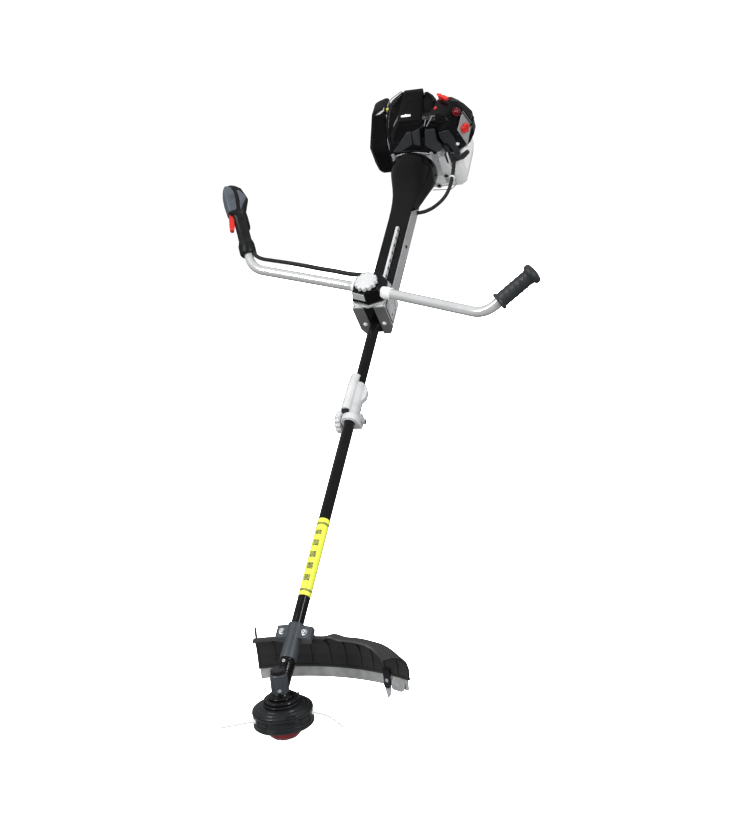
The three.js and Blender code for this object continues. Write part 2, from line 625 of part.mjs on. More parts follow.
function buildBar() {
  node("handlebar", handlebar(), brightAlloy(), barGroup);
  node("left_grip", plainGrip(), rubber(), gripFrame(-1));
  const throttle = gripFrame(1);
  node("throttle_housing", throttleHousing(), mattBlack(), throttle);
  node("throttle_trigger", throttleTrigger(), red(), throttle);
  node("lockout_lever", lockoutLever(), mattBlack(), throttle);
  node("stop_switch", stopSwitch(), satinGrey(), throttle);
  node("throttle_cable", swept(THROTTLE_CABLE, 5.5, 40, 10), rubber(), barGroup);
}

// ---------- engine, measured from its mounting face ----------
const engine = new THREE.Group();
engine.position.set(0, 0, ENGINE_ALONG);
shaft.add(engine);
const CASE = { half: 45, top: 46, end: 106 };
const CRANK_THROW = 14;
const CRANK_WEB = 24;
const BORE = 19;

function crankcase() {
  const block = prismZ(cutCorners(-CASE.half, CASE.half, -46, CASE.top, 12), 2, CASE.end);
  const bracket = prismZ([[-20, 48], [-104, 48], [-108, 20], [-106, -70], [-84, -88], [-30, -84], [-20, -50]], 4, 16);
  const room = rod(39, CRANK_CENTRE - 40, CRANK_CENTRE + 34, 24);
  const axle = rod(6.5, -10, 150, 16);
  const cylinderHole = toY(rod(BORE, 0, 60, 20)).translate(0, 0, CRANK_CENTRE);
  const lightening = [[-64, -60], [-88, -20]].map(([x, y]) => rod(7, 0, 30, 12).translate(x, y, 0));
  return cut(join(block, bracket), room, axle, cylinderHole, ...lightening);
}

function crankshaft() {
  const c = CRANK_CENTRE;
  const front = turned([[0, -36], [5, -36], [5, c - 18], [CRANK_WEB, c - 18], [CRANK_WEB, c - 9], [0, c - 9]], 24);
  const back = turned([[0, c + 9], [CRANK_WEB, c + 9], [CRANK_WEB, c + 18], [5, c + 18], [5, 150], [0, 150]], 24);
  const pin = rod(6, c - 12, c + 12, 14).translate(0, CRANK_THROW, 0);
  return join(front, back, pin);
}

function flywheel() {
  const disc = ring([[5.3, 126], [48, 126], [48, 134], [52, 134], [52, 142], [16, 142], [12, 146], [5.3, 146]], 28);
  return disc;
}

function clutchShoes() {
  const disc = pipe(5.3, 37, -40, -18, 24);
  const slots = [0, 1].map((i) => box([-3, 16, -45], [3, 45, -10]).rotateZ(i * Math.PI));
  const sides = [0, 1].map((i) => box([16, -12, -45], [30, 12, -10]).rotateZ(i * Math.PI));
  return cut(disc, ...slots, ...sides);
}

function piston() {
  const body = rod(BORE - GAP, 64, 94, 24);
  const skirtRoom = rod(BORE - 4, 60, 88, 20);
  return toY(cut(body, skirtRoom)).translate(0, 0, CRANK_CENTRE);
}

function cylinder() {
  const fins = Array.from({ length: 6 }, (_, i) => box([-31, 62 + i * 9, -31], [31, 65 + i * 9, 31]));
  const barrel = toY(rod(24, CASE.top + GAP, 116, 24));
  const foot = box([-30, CASE.top + GAP, -30], [30, 53, 30]);
  const bore = toY(rod(BORE, 40, 100, 24));
  const plugHole = toY(rod(5.4, 95, 130, 12));
  return cut(join(barrel, foot, ...fins), bore, plugHole).translate(0, 0, CRANK_CENTRE);
}

function sparkPlug() {
  const plug = turned([[0, 103], [4.8, 103], [4.8, 116.6], [9, 116.6], [9, 128], [7, 132], [8, 136], [8, 150], [0, 152]], 16);
  return toY(plug).translate(0, 0, CRANK_CENTRE);
}

// Shroud over the cylinder: low and wide at the bell, stepping back as it rises.
function engineCover() {
  const outer = loft([
    levelRing(52, -86, 60, 2, 116, 14),
    levelRing(72, -86, 60, 4, 118, 14),
    levelRing(104, -85, 58, 20, 120, 14),
    levelRing(142, -84, 42, 34, 121, 12),
    levelRing(168, -72, 22, 76, 121, 8),
    levelRing(187, -56, 4, 110, 121, 3),
  ]);
  const inner = loft([
    levelRing(48, -83, 57, 5, 113, 12),
    levelRing(72, -83, 57, 8, 115, 12),
    levelRing(104, -82, 54, 24, 117, 12),
    levelRing(141, -80, 38, 39, 118, 10),
    levelRing(166, -68, 18, 80, 118, 6),
  ]);
  const intakeWindow = box([-90, 71.7, INTAKE.along - 20.3], [-45, 112.3, INTAKE.along + 20.3]);
  return cut(outer, inner, intakeWindow);
}

function mufflerBox(inset) {
  const [x0, x1, z1] = [69 + inset, 118 - inset, 138 - inset];
  return loft([
    levelRing(-20 + inset, x0 + 3, x1 - 4, 42 + inset, 132, 8),
    levelRing(-10 + inset, x0, x1, 36 + inset, z1, 8),
    levelRing(62, x0, x1, 36 + inset, z1, 8),
    levelRing(104 - inset, x0, 106 - inset, 84 + inset, z1, 8),
  ]);
}

function muffler() {
  const outlet = rod(7, 30, 50, 12).translate(94, 20, 0);
  return cut(mufflerBox(0), mufflerBox(2), outlet);
}

function mufflerCover() {
  const outer = loft([
    levelRing(-26, 66, 118, 30, 140, 8),
    levelRing(10, 64, 126, 26, 148, 10),
    levelRing(66, 64, 126, 26, 150, 10),
    levelRing(140, 64, 110, 90, 150, 8),
  ]);
  const inner = loft([
    levelRing(-23, 60, 115, 33, 141, 8),
    levelRing(10, 60, 123, 29, 145, 10),
    levelRing(66, 60, 123, 29, 147, 10),
    levelRing(136, 60, 107, 90, 147, 8),
  ]);
  return cut(outer, inner);
}

const INTAKE = { up: 92, along: CRANK_CENTRE };
const intakeThroat = () => toX(rod(9, -100, -25, 16)).translate(0, INTAKE.up, INTAKE.along);

function carburettor() {
  const body = box([-87.7, 72, INTAKE.along - 20], [-58, 112, INTAKE.along + 20]);
  const stub = toX(rod(13, -60, -31.5, 16)).translate(0, INTAKE.up, INTAKE.along);
  return cut(join(body, stub), intakeThroat());
}

// The filter cover is cut off across its front corner: the screw knob faces out of that face,
// and the primer sits on the slope above it.
const CORNER_FACE = new THREE.Vector3(-0.8, 0, -0.6);
const CORNER_SLOPE = new THREE.Vector3(-0.57, 0.7, -0.43).normalize();
const FILTER_KNOB = new THREE.Vector3(-160, 95, 46);
const PRIMER = new THREE.Vector3(-150, 145, 53.5);
const CHOKE = { x: -100, along: 102, turn: 138 };

// Turns a piece made along +Z to face a direction, and places it.
function aimed(geometry, direction, at) {
  const turn = new THREE.Quaternion().setFromUnitVectors(new THREE.Vector3(0, 0, 1), direction);
  return geometry.applyQuaternion(turn).translate(at.x, at.y, at.z);
}

function filterBase() {
  const plate = prismX(cutCorners(34, 118, 30, 154, 12), -92, -88);
  return cut(plate, intakeThroat());
}

function filterElement() {
  return prismX(cutCorners(44, 108, 52, 138, 8), -118, -92.4);
}

function filterCover() {
  const plan = (y, front, back, side, cornerX, cornerZ, inset = 0) => [[-92.4 + inset * 2, front + inset],
    [cornerX, front + inset], [side + inset, cornerZ], [side + inset, back - 22], [side + 22, back - inset],
    [-92.4 + inset * 2, back - inset]].map(([x, z]) => new THREE.Vector3(x, y, z));
  const outer = loft([
    plan(20, 34, 118, -154, -130, 60),
    plan(46, 22, 124, -179, -142, 70),
    plan(132, 22, 124, -178, -142, 70),
    plan(158, 34, 112, -158, -120, 82),
  ]);
  const inner = loft([
    plan(25, 34, 118, -154, -128, 62, 4),
    plan(47, 22, 124, -179, -140, 71, 4),
    plan(130, 22, 124, -178, -140, 71, 4),
    plan(154, 34, 112, -158, -118, 83, 4),
  ]);
  const lip = prismZ([[-88, 50], [-160, 50], [-164, 26], [-150, 4], [-114, -14], [-96, -8], [-87, 10]], 16.5, 24.5);
  const web = box([-150, 26, 16.5], [-94, 50, 40]);
  const bulbHole = aimed(rod(10.4, -20, 20, 16), CORNER_SLOPE, PRIMER);
  return cut(join(outer, lip, web), inner, bulbHole);
}

function filterKnob() {
  return aimed(join(scalloped(15, 5, 5, 1.5, 11), rod(8, 0.4, 3, 12)), CORNER_FACE, FILTER_KNOB);
}

function primerBulb() {
  return aimed(turned([[0, -7], [10, -7], [10, 1], [8.5, 5], [5, 8], [0, 9]], 16), CORNER_SLOPE, PRIMER);
}

function chokeLever() {
  const boss = rod(6, 158.4, 164, 14);
  const tab = box([-12, -4.5, 160], [36, 4.5, 164]);
  return toY(join(boss, tab).rotateZ(CHOKE.turn * RAD)).translate(CHOKE.x, 0, CHOKE.along);
}

function starterHousing() {
  const cup = ring([[59, 123.5], [62, 123.5], [62, 160], [50, 172], [30, 176], [0, 176], [0, 172], [30, 172], [48, 168],
    [59, 157]], 32);
  const tower = prismX([[140, 50], [164, 50], [162, 74], [142, 74]], 8, 32);
  const ropeHole = toY(rod(3, 40, 90, 10)).translate(20, 0, 152);
  return cut(join(cup, tower), ropeHole, rod(58.8, 110, 157, 32));
}

function starterHandle() {
  const bar = prismZ([[-2, 76], [-2, 86], [3, 90], [37, 90], [42, 86], [42, 76], [30, 74.6], [10, 74.6]], 145, 159);
  const stem = toY(rod(2.6, 58, 80, 10)).translate(20, 0, 152);
  return join(bar, stem);
}

const TANK = { front: 26, shelf: 118, tower: 127, back: 150, wall: 3 };
const FILLER = { x: -108, y: -46 };

// The tank is one hollow box beside the starter: a foot reaches under the crankcase
// and a tower stands behind the filter cover.
function tankBody(inset) {
  const [right, left, floor, roof] = [-66 - inset, -142 + inset, -96 + inset, 16 - inset];
  const side = [[right, roof], [right, floor], [-112, floor], [-130 + inset, -84 + inset], [left, -44], [left, roof]];
  const foot = cutCorners(-90, -14 - inset, floor, -54 - inset, 8);
  const tower = cutCorners(-158 + inset, -100 - inset, 2 + inset, 96 - inset, 12);
  return join(prismZ(side, TANK.front + inset, TANK.back - inset), prismZ(foot, TANK.front + inset, TANK.shelf - inset),
    prismZ(tower, TANK.tower + inset, TANK.back - inset));
}

function fuelTank() {
  const neck = rod(15, TANK.back - 2, TANK.back + 6, 20).translate(FILLER.x, FILLER.y, 0);
  const mouth = rod(12, TANK.back - 10, TANK.back + 10, 20).translate(FILLER.x, FILLER.y, 0);
  return cut(join(tankBody(0), neck), tankBody(TANK.wall), mouth);
}

function fuelCap() {
  const top = TANK.back + 6;
  const cap = join(scalloped(20, 2, 10, top + 0.6, top + 12), rod(11.5, top - 10, top + 2, 18));
  return cap.translate(FILLER.x, FILLER.y, 0);
}

// The fuel and wiring sleeve loops from the filter cover's lip into the side of the frame channel.
const ENGINE_LOOM = [[-117, 8, 16.2], [-117, 8, 2], [-118.5, 6, -20], [-118, 0, -50], [-111, -13, -82],
  [-95, -25, -106], [-72, -30, -130], [-54, -25, -150], [-42, -19, -161], [-35, -18, -163], [-31, -18, -163]];

function buildEngine() {
  node("crankcase", crankcase(), castAlloy(), engine);
  node("crankshaft", crankshaft(), steel(), engine);
  node("flywheel", flywheel(), castAlloy(), engine);
  node("clutch_shoes", clutchShoes(), darkSteel(), engine);
  node("piston", piston(), castAlloy(), engine);
  node("cylinder", cylinder(), castAlloy(), engine);
  node("spark_plug", sparkPlug(), mattBlack(), engine);
  node("engine_cover", engineCover(), glossBlack(), engine);
  node("muffler", muffler(), steel(), engine);
  node("muffler_cover", mufflerCover(), mattBlack(), engine);
  node("carburettor", carburettor(), castAlloy(), engine);
  node("filter_base", filterBase(), mattBlack(), engine);
  node("filter_element", filterElement(), finish(0xcab98a, 0.9, 0), engine);
  node("filter_cover", filterCover(), glossBlack(), engine);
  node("filter_knob", filterKnob(), red(), engine);
  node("primer_bulb", primerBulb(), darkRed(), engine);
  node("choke_lever", chokeLever(), red(), engine);
  node("starter_housing", starterHousing(), mattBlack(), engine);
  node("starter_handle", starterHandle(), mattBlack(), engine);
  node("fuel_tank", fuelTank(), palePlastic(), engine);
  node("fuel_cap", fuelCap(), mattBlack(), engine);
  node("engine_loom", swept(ENGINE_LOOM, 5.5, 40, 10), rubber(), engine);
}

buildHead();
buildGuard();
buildTubes();
buildCoupler();
buildFrame();
buildClamp();
buildBar();
buildEngine();

export default trimmer;
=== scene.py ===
# The looks of the petrol string trimmer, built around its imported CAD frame.
# Pieces are drawn in millimetres in a few local frames and scaled to metres when they are made.
import math

import bpy
from mathutils import Matrix, Vector


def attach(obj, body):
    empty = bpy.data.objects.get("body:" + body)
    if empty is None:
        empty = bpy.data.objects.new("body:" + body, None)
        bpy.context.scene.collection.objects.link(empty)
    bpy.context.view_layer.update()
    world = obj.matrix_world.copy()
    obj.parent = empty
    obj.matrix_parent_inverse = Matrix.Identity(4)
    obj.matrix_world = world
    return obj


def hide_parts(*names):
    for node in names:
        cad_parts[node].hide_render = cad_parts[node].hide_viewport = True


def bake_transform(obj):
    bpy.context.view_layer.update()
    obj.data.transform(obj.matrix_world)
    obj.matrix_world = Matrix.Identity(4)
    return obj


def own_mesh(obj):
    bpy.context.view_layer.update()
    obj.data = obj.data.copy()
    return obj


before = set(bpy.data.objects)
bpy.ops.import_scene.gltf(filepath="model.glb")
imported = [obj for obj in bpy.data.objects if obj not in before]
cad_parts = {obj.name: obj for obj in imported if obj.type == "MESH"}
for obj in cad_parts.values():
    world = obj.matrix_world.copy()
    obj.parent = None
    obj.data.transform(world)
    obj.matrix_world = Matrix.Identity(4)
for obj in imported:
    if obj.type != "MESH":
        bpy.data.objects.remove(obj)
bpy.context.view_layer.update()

# ---------- frames ----------
MM = 0.001
SHAFT_TILT = math.radians(40)
CROSSING_HEIGHT = 104
CLAMP_ALONG = 1064
BAR_UP = 83
BAR_SWING = math.radians(-17.4)
BAR_CORNER = Vector((352, 25, -25))
GRIP_DIRECTION = Vector((0.6, 0.33, 0.73)).normalized()
ENGINE_ALONG = 1612


def shift(x, y, z):
    return Matrix.Translation((x * MM, y * MM, z * MM))


def basis(x_axis, y_axis, z_axis):
    columns = Matrix((x_axis, y_axis, z_axis)).transposed()
    return columns.to_4x4()


WORLD = Matrix.Identity(4)
SLOPE_SIN = math.sin(SHAFT_TILT)
SLOPE_COS = math.cos(SHAFT_TILT)
SHAFT_AXES = basis((-1, 0, 0), (0, -SLOPE_SIN, SLOPE_COS), (0, SLOPE_COS, SLOPE_SIN))
SHAFT = shift(0, 0, CROSSING_HEIGHT) @ SHAFT_AXES
CLAMP = SHAFT @ shift(0, 0, CLAMP_ALONG)
BAR = CLAMP @ shift(0, BAR_UP, 0) @ Matrix.Rotation(BAR_SWING, 4, "Y")
ENGINE = SHAFT @ shift(0, 0, ENGINE_ALONG)


def grip_frame(side):
    along = Vector((side * GRIP_DIRECTION.x, GRIP_DIRECTION.y, GRIP_DIRECTION.z))
    front = (Vector((0, 0, -1)) + along * along.z).normalized()
    corner = shift(side * BAR_CORNER.x, BAR_CORNER.y, BAR_CORNER.z)
    return BAR @ corner @ basis(front.cross(along), front, along)


# ---------- putting things in the scene ----------
def placed(name, data, place=WORLD):
    made = bpy.data.objects.new(name, data)
    made.matrix_world = place
    bpy.context.scene.collection.objects.link(made)
    return made


def mesh_of(name, shape):
    verts, faces = shape
    mesh = bpy.data.meshes.new(name)
    mesh.from_pydata([tuple(c * MM for c in point) for point in verts], [], faces)
    return mesh


# ---------- camera, at the photograph's viewing angle ----------
EYE = (1.0672, -2.1122, 1.1296)
EYE_RIGHT = (0.9368, 0.3365, -0.0960)
EYE_FORWARD = (-0.3491, 0.9173, -0.1914)
LENS = 52.3


def camera():
    data = bpy.data.cameras.new("camera")
    data.sensor_fit = "VERTICAL"
    data.sensor_height = 36
    data.lens = LENS
    data.clip_end = 60
    right = Vector(EYE_RIGHT).normalized()
    forward = Vector(EYE_FORWARD)
    forward = (forward - right * forward.dot(right)).normalized()
    place = Matrix.Translation(EYE) @ basis(right, right.cross(forward), -forward)
    bpy.context.scene.camera = placed("camera", data, place)


camera()


# ---------- materials ----------
NOISE_ROUGHNESS = 0.55


def graph(name):
    material = bpy.data.materials.new(name)
    material.use_nodes = True
    nodes = material.node_tree.nodes
    shader = nodes["Principled BSDF"]
    place = nodes.new("ShaderNodeTexCoord").outputs["Object"]
    return material, nodes, material.node_tree.links, shader, place


def noise(nodes, links, place, scale, detail=4, stretch=(1, 1, 1)):
    mapping = nodes.new("ShaderNodeMapping")
    mapping.inputs["Scale"].default_value = stretch
    texture = nodes.new("ShaderNodeTexNoise")
    texture.inputs["Scale"].default_value = scale
    texture.inputs["Detail"].default_value = detail
    texture.inputs["Roughness"].default_value = NOISE_ROUGHNESS
    links.new(place, mapping.inputs["Vector"])
    links.new(mapping.outputs["Vector"], texture.inputs["Vector"])
    return texture.outputs["Fac"]


def spread(nodes, links, value, low, high, start=0.3, stop=0.7):
    ramp = nodes.new("ShaderNodeMapRange")
    for socket, number in (("From Min", start), ("From Max", stop), ("To Min", low), ("To Max", high)):
        ramp.inputs[socket].default_value = number
    links.new(value, ramp.inputs["Value"])
    return ramp.outputs["Result"]


def tinted(nodes, links, value, first, second):
    mix = nodes.new("ShaderNodeMix")
    mix.data_type = "RGBA"
    mix.inputs["A"].default_value = (*first, 1)
    mix.inputs["B"].default_value = (*second, 1)
    links.new(value, mix.inputs["Factor"])
    return mix.outputs["Result"]


def combined(nodes, links, first, second, operation):
    node = nodes.new("ShaderNodeMath")
    node.operation = operation
    links.new(first, node.inputs[0])
    links.new(second, node.inputs[1])
    return node.outputs["Value"]


def bumped(nodes, links, shader, height, strength, distance):
    bump = nodes.new("ShaderNodeBump")
    bump.inputs["Strength"].default_value = strength
    bump.inputs["Distance"].default_value = distance
    links.new(height, bump.inputs["Height"])
    links.new(bump.outputs["Normal"], shader.inputs["Normal"])


def finish(name, dark, light, gloss, metal=0, shine=0.5, grain=(900, 0.15, 0.00015), stretch=(1, 1, 1),
           tone_scale=14, clear=0):
    """A moulded, painted or cast finish: slow colour change, smudged gloss and a fine surface grain."""
    material, nodes, links, shader, place = graph(name)
    tone = spread(nodes, links, noise(nodes, links, place, tone_scale), 0, 1)
    links.new(tinted(nodes, links, tone, dark, light), shader.inputs["Base Color"])
    smudge = noise(nodes, links, place, tone_scale * 4, 6)
    links.new(spread(nodes, links, smudge, gloss[0], gloss[1]), shader.inputs["Roughness"])
    scale, strength, distance = grain
    bumped(nodes, links, shader, noise(nodes, links, place, scale, 3, stretch), strength, distance)
    shader.inputs["Metallic"].default_value = metal
    shader.inputs["Specular IOR Level"].default_value = shine
    if clear:
        shader.inputs["Transmission Weight"].default_value = clear
    return material


ACROSS = (1, 1, 0.03)
GLOSS_BLACK = finish("gloss_black_plastic", (0.0030, 0.0030, 0.0035), (0.006, 0.006, 0.007), (0.06, 0.14),
                     shine=0.32, grain=(160, 0.05, 0.0002))
MATT_BLACK = finish("satin_black_plastic", (0.006, 0.006, 0.007), (0.012, 0.013, 0.014), (0.34, 0.48),
                    shine=0.35, grain=(1600, 0.35, 0.00012))
HEAD_BLACK = finish("head_black_plastic", (0.008, 0.009, 0.010), (0.014, 0.016, 0.017), (0.22, 0.34),
                    shine=0.4, grain=(1500, 0.25, 0.0001))
SLATE_BLACK = finish("slate_black_plastic", (0.022, 0.023, 0.026), (0.036, 0.038, 0.042), (0.32, 0.44),
                     shine=0.4, grain=(1500, 0.30, 0.00012))
GUARD_BLACK = finish("guard_black_plastic", (0.018, 0.019, 0.018), (0.030, 0.031, 0.029), (0.36, 0.50),
                     shine=0.4, grain=(1300, 0.40, 0.00014), stretch=(1, 1, 0.4))
TUBE_BLACK = finish("tube_black_paint", (0.0030, 0.0030, 0.0030), (0.006, 0.0055, 0.0055), (0.10, 0.20),
                    shine=0.35, grain=(420, 0.06, 0.0002))
PAINT_GREY = finish("slate_grey_paint", (0.045, 0.052, 0.060), (0.070, 0.080, 0.090), (0.32, 0.46),
                    metal=0.25, grain=(1100, 0.35, 0.00015))
PLATE_GREY = finish("plate_grey_paint", (0.13, 0.132, 0.132), (0.18, 0.18, 0.18), (0.36, 0.5), metal=0.2,
                    grain=(900, 0.25, 0.00012))
CAST_ALLOY = finish("cast_alloy", (0.60, 0.61, 0.62), (0.74, 0.75, 0.76), (0.34, 0.50), metal=0.35,
                    grain=(1500, 0.45, 0.0002))
PALE_ALLOY = finish("pale_sand_cast_alloy", (0.58, 0.59, 0.60), (0.70, 0.71, 0.72), (0.38, 0.52), metal=0.12,
                    grain=(1700, 0.40, 0.00016))
BRACKET_ALLOY = finish("bright_cast_bracket", (0.84, 0.85, 0.86), (0.92, 0.93, 0.94), (0.38, 0.52))
BRIGHT_ALLOY = finish("brushed_alloy", (0.70, 0.71, 0.72), (0.84, 0.85, 0.86), (0.22, 0.36), metal=0.5,
                      grain=(1800, 0.25, 0.00008), stretch=ACROSS)
SATIN_ALLOY = finish("satin_alloy", (0.48, 0.49, 0.50), (0.58, 0.59, 0.60), (0.34, 0.48), metal=0.45,
                     grain=(1600, 0.30, 0.0001), stretch=ACROSS)
CHROME_BAR = finish("polished_bar", (0.78, 0.79, 0.80), (0.88, 0.89, 0.90), (0.10, 0.18), metal=0.55,
                    grain=(900, 0.08, 0.00005))
STEEL = finish("zinc_steel", (0.46, 0.48, 0.51), (0.62, 0.64, 0.67), (0.20, 0.34), metal=0.5,
               grain=(1200, 0.20, 0.00008))
DARK_STEEL = finish("blackened_steel", (0.010, 0.010, 0.012), (0.020, 0.020, 0.024), (0.10, 0.22), metal=0.3,
                    grain=(700, 0.12, 0.0001))
RUBBER = finish("ribbed_rubber", (0.010, 0.010, 0.011), (0.020, 0.021, 0.022), (0.42, 0.60), shine=0.4,
                grain=(1400, 0.45, 0.0002))
GRIP_RUBBER = finish("slate_grip_rubber", (0.020, 0.023, 0.025), (0.034, 0.038, 0.041), (0.40, 0.55),
                     grain=(1300, 0.5, 0.0002))
RED = finish("bright_red_plastic", (0.62, 0.022, 0.016), (0.80, 0.040, 0.030), (0.24, 0.38),
             grain=(1200, 0.20, 0.0001))
DARK_RED = finish("deep_red_plastic", (0.11, 0.003, 0.008), (0.18, 0.006, 0.014), (0.12, 0.24),
                  grain=(800, 0.12, 0.0001))
PANEL_GREY = finish("blue_grey_panel", (0.070, 0.082, 0.102), (0.105, 0.122, 0.146), (0.34, 0.46),
                    grain=(1700, 0.4, 0.00016))
SKIRT_GREY = finish("grey_skirt_plastic", (0.22, 0.225, 0.225), (0.36, 0.365, 0.365), (0.38, 0.55),
                    tone_scale=40, grain=(900, 0.4, 0.0002))
WHITE = finish("white_plastic", (0.78, 0.79, 0.79), (0.88, 0.88, 0.88), (0.26, 0.4),
               grain=(1000, 0.2, 0.0001))
TANK_WHITE = finish("milky_tank_plastic", (0.90, 0.905, 0.91), (0.94, 0.945, 0.95), (0.24, 0.36),
                    tone_scale=6, grain=(500, 0.10, 0.00012))
NYLON = finish("clear_nylon", (0.86, 0.92, 0.91), (0.92, 0.95, 0.95), (0.10, 0.2), grain=(600, 0.1, 0.0001),
               clear=0.3)
FOAM = finish("filter_foam", (0.34, 0.24, 0.09), (0.52, 0.38, 0.16), (0.8, 0.95), grain=(420, 0.9, 0.0008))
YELLOW = finish("yellow_trim", (0.62, 0.60, 0.08), (0.76, 0.73, 0.14), (0.3, 0.42), grain=(900, 0.2, 0.0001))


# ---------- shapes, each a pair of vertex and face lists ----------
def polar(radius, angle, z):
    return radius * math.cos(angle), radius * math.sin(angle), z


def merged(*shapes):
    verts, faces = [], []
    for more_verts, more_faces in shapes:
        faces += [[index + len(verts) for index in face] for face in more_faces]
        verts += list(more_verts)
    return verts, faces


def turned_by(shape, matrix):
    return [matrix @ Vector(point) for point in shape[0]], shape[1]


def moved(shape, x=0, y=0, z=0):
    return turned_by(shape, Matrix.Translation((x, y, z)))


def about(axis, degrees):
    return Matrix.Rotation(math.radians(degrees), 4, axis)


TO_X = about("Y", 90)
TO_Y = about("X", -90)


def filleted(points, radius, steps=4, closed=False):
    """The same path with every corner rounded by an arc, as far as its sides allow."""
    points = [Vector(point) for point in points]
    count = len(points)
    smooth = []
    for i, point in enumerate(points):
        if not closed and i in (0, count - 1):
            smooth.append(point)
            continue
        before = points[i - 1] - point
        after = points[(i + 1) % count] - point
        half = before.angle(after) / 2
        if half > math.radians(88):
            smooth.append(point)
            continue
        reach = min(radius / math.tan(half), before.length * 0.49, after.length * 0.49)
        start = point + before.normalized() * reach
        stop = point + after.normalized() * reach
        middle = point + (before.normalized() + after.normalized()).normalized() * reach / math.cos(half)
        from_middle, to_middle = start - middle, stop - middle
        angle = from_middle.angle(to_middle)
        for step in range(steps + 1):
            share = step / steps
            low = math.sin((1 - share) * angle) / math.sin(angle)
            high = math.sin(share * angle) / math.sin(angle)
            smooth.append(middle + from_middle * low + to_middle * high)
    return smooth


def skinned(rings, closed=False):
    """Quads between rings of equal count; a ring of one point closes to a tip."""
    verts = [point for ring in rings for point in ring]
    starts = [sum(len(ring) for ring in rings[:i]) for i in range(len(rings))]
    faces = []
    levels = len(rings) if closed else len(rings) - 1
    for level in range(levels):
        upper = (level + 1) % len(rings)
        low, high = rings[level], rings[upper]
        count = max(len(low), len(high))
        for i in range(count):
            j = (i + 1) % count
            a, b = starts[level] + i % len(low), starts[level] + j % len(low)
            c, d = starts[upper] + j % len(high), starts[upper] + i % len(high)
            face = [a, b, c, d]
            faces.append([v for k, v in enumerate(face) if v not in face[:k]])
    if not closed:
        for level, flip in ((0, True), (len(rings) - 1, False)):
            ring = list(range(starts[level], starts[level] + len(rings[level])))
            if len(ring) > 2:
                faces.append(ring[::-1] if flip else ring)
    return verts, faces


def turned(profile, sides=64, round_by=0, wave=None, closed=False):
    """A piece turned about Z from [radius, height] points, its corners rounded."""
    points = [Vector((radius, 0, height)) for radius, height in profile]
    if round_by:
        points = filleted(points, round_by, 3, closed)
    rings = []
    for point in points:
        if point.x < 1e-4:
            rings.append([(0, 0, point.z)])
            continue
        ring = []
        for i in range(sides):
            angle = i / sides * math.tau
            radius = point.x * (wave(angle, point.z) if wave else 1)
            ring.append(polar(radius, angle, point.z))
        rings.append(ring)
    return skinned(rings, closed)


def disc(radius, start, stop, sides=32, round_by=0.6):
    return turned([[0, start], [radius, start], [radius, stop], [0, stop]], sides, round_by)


def hollow(inner, outer, start, stop, sides=64, round_by=0.5):
    return turned([[inner, start], [outer, start], [outer, stop], [inner, stop]], sides, round_by,
                  closed=True)


def box(low, high):
    (x0, y0, z0), (x1, y1, z1) = low, high
    base = [(x0, y0), (x1, y0), (x1, y1), (x0, y1)]
    return skinned([[(x, y, z) for x, y in base] for z in (z0, z1)])


def prism(outline, start, stop, axis="Z"):
    """An outline pushed along an axis: [x, y] points for Z, [z, y] for X and [x, z] for Y."""
    place = {
        "Z": lambda u, v, w: (u, v, w),
        "X": lambda u, v, w: (w, v, u),
        "Y": lambda u, v, w: (u, w, v),
    }[axis]
    return skinned([[place(u, v, w) for u, v in outline] for w in (start, stop)])


def rounded_outline(outline, radius, steps=4):
    corners = [(u, v, 0) for u, v in outline]
    return [(point.x, point.y) for point in filleted(corners, radius, steps, closed=True)]


def soft_prism(outline, radius, start, stop, axis="Z"):
    soft = rounded_outline(outline, radius)
    return prism(soft, start, stop, axis)


def lofted(ring, *levels):
    """A skin over rings of one kind, each level holding the numbers of one ring."""
    return skinned([ring(*level) for level in levels])


def section(z, half, low, high, power, count=56):
    """A ring between a circle and a square: the higher its power, the squarer it is."""
    def bulge(value):
        return math.copysign(abs(value) ** (2 / power), value)
    middle = (high + low) / 2
    rise = (high - low) / 2
    ring = []
    for i in range(count):
        angle = (i + 0.5) / count * math.tau
        ring.append((half * bulge(math.cos(angle)), middle + rise * bulge(math.sin(angle)), z))
    return ring


def cut_corners(u0, u1, v0, v1, corner):
    return [(u0 + corner, v0), (u1 - corner, v0), (u1, v0 + corner), (u1, v1 - corner),
            (u1 - corner, v1), (u0 + corner, v1), (u0, v1 - corner), (u0, v0 + corner)]


def level_ring(y, x0, x1, z0, z1, corner):
    return [(x, y, z) for x, z in cut_corners(x0, x1, z0, z1, corner)]


def side_ring(x, y0, y1, z0, z1, corner):
    return [(x, y, z) for y, z in cut_corners(y0, y1, z0, z1, corner)]


def spline(points, steps):
    """A smooth curve through the points, evenly stepped between each pair."""
    points = [Vector(point) for point in points]
    ends = [points[0] * 2 - points[1], *points, points[-1] * 2 - points[-2]]
    path = []
    for i in range(1, len(ends) - 2):
        p0, p1, p2, p3 = ends[i - 1:i + 3]
        for step in range(steps):
            t = step / steps
            path.append(0.5 * (2 * p1 + (p2 - p0) * t + (2 * p0 - 5 * p1 + 4 * p2 - p3) * t ** 2
                               + (3 * p1 - p0 - 3 * p2 + p3) * t ** 3))
    return [*path, points[-1]]


def resampled(path, pitch):
    lengths = [0]
    for a, b in zip(path, path[1:]):
        lengths.append(lengths[-1] + (b - a).length)
    count = max(2, round(lengths[-1] / pitch))
    even, i = [], 0
    for step in range(count + 1):
        target = lengths[-1] * step / count
        while i < len(path) - 2 and lengths[i + 1] < target:
            i += 1
        share = (target - lengths[i]) / max(lengths[i + 1] - lengths[i], 1e-9)
        even.append(path[i].lerp(path[i + 1], min(share, 1)))
    return even


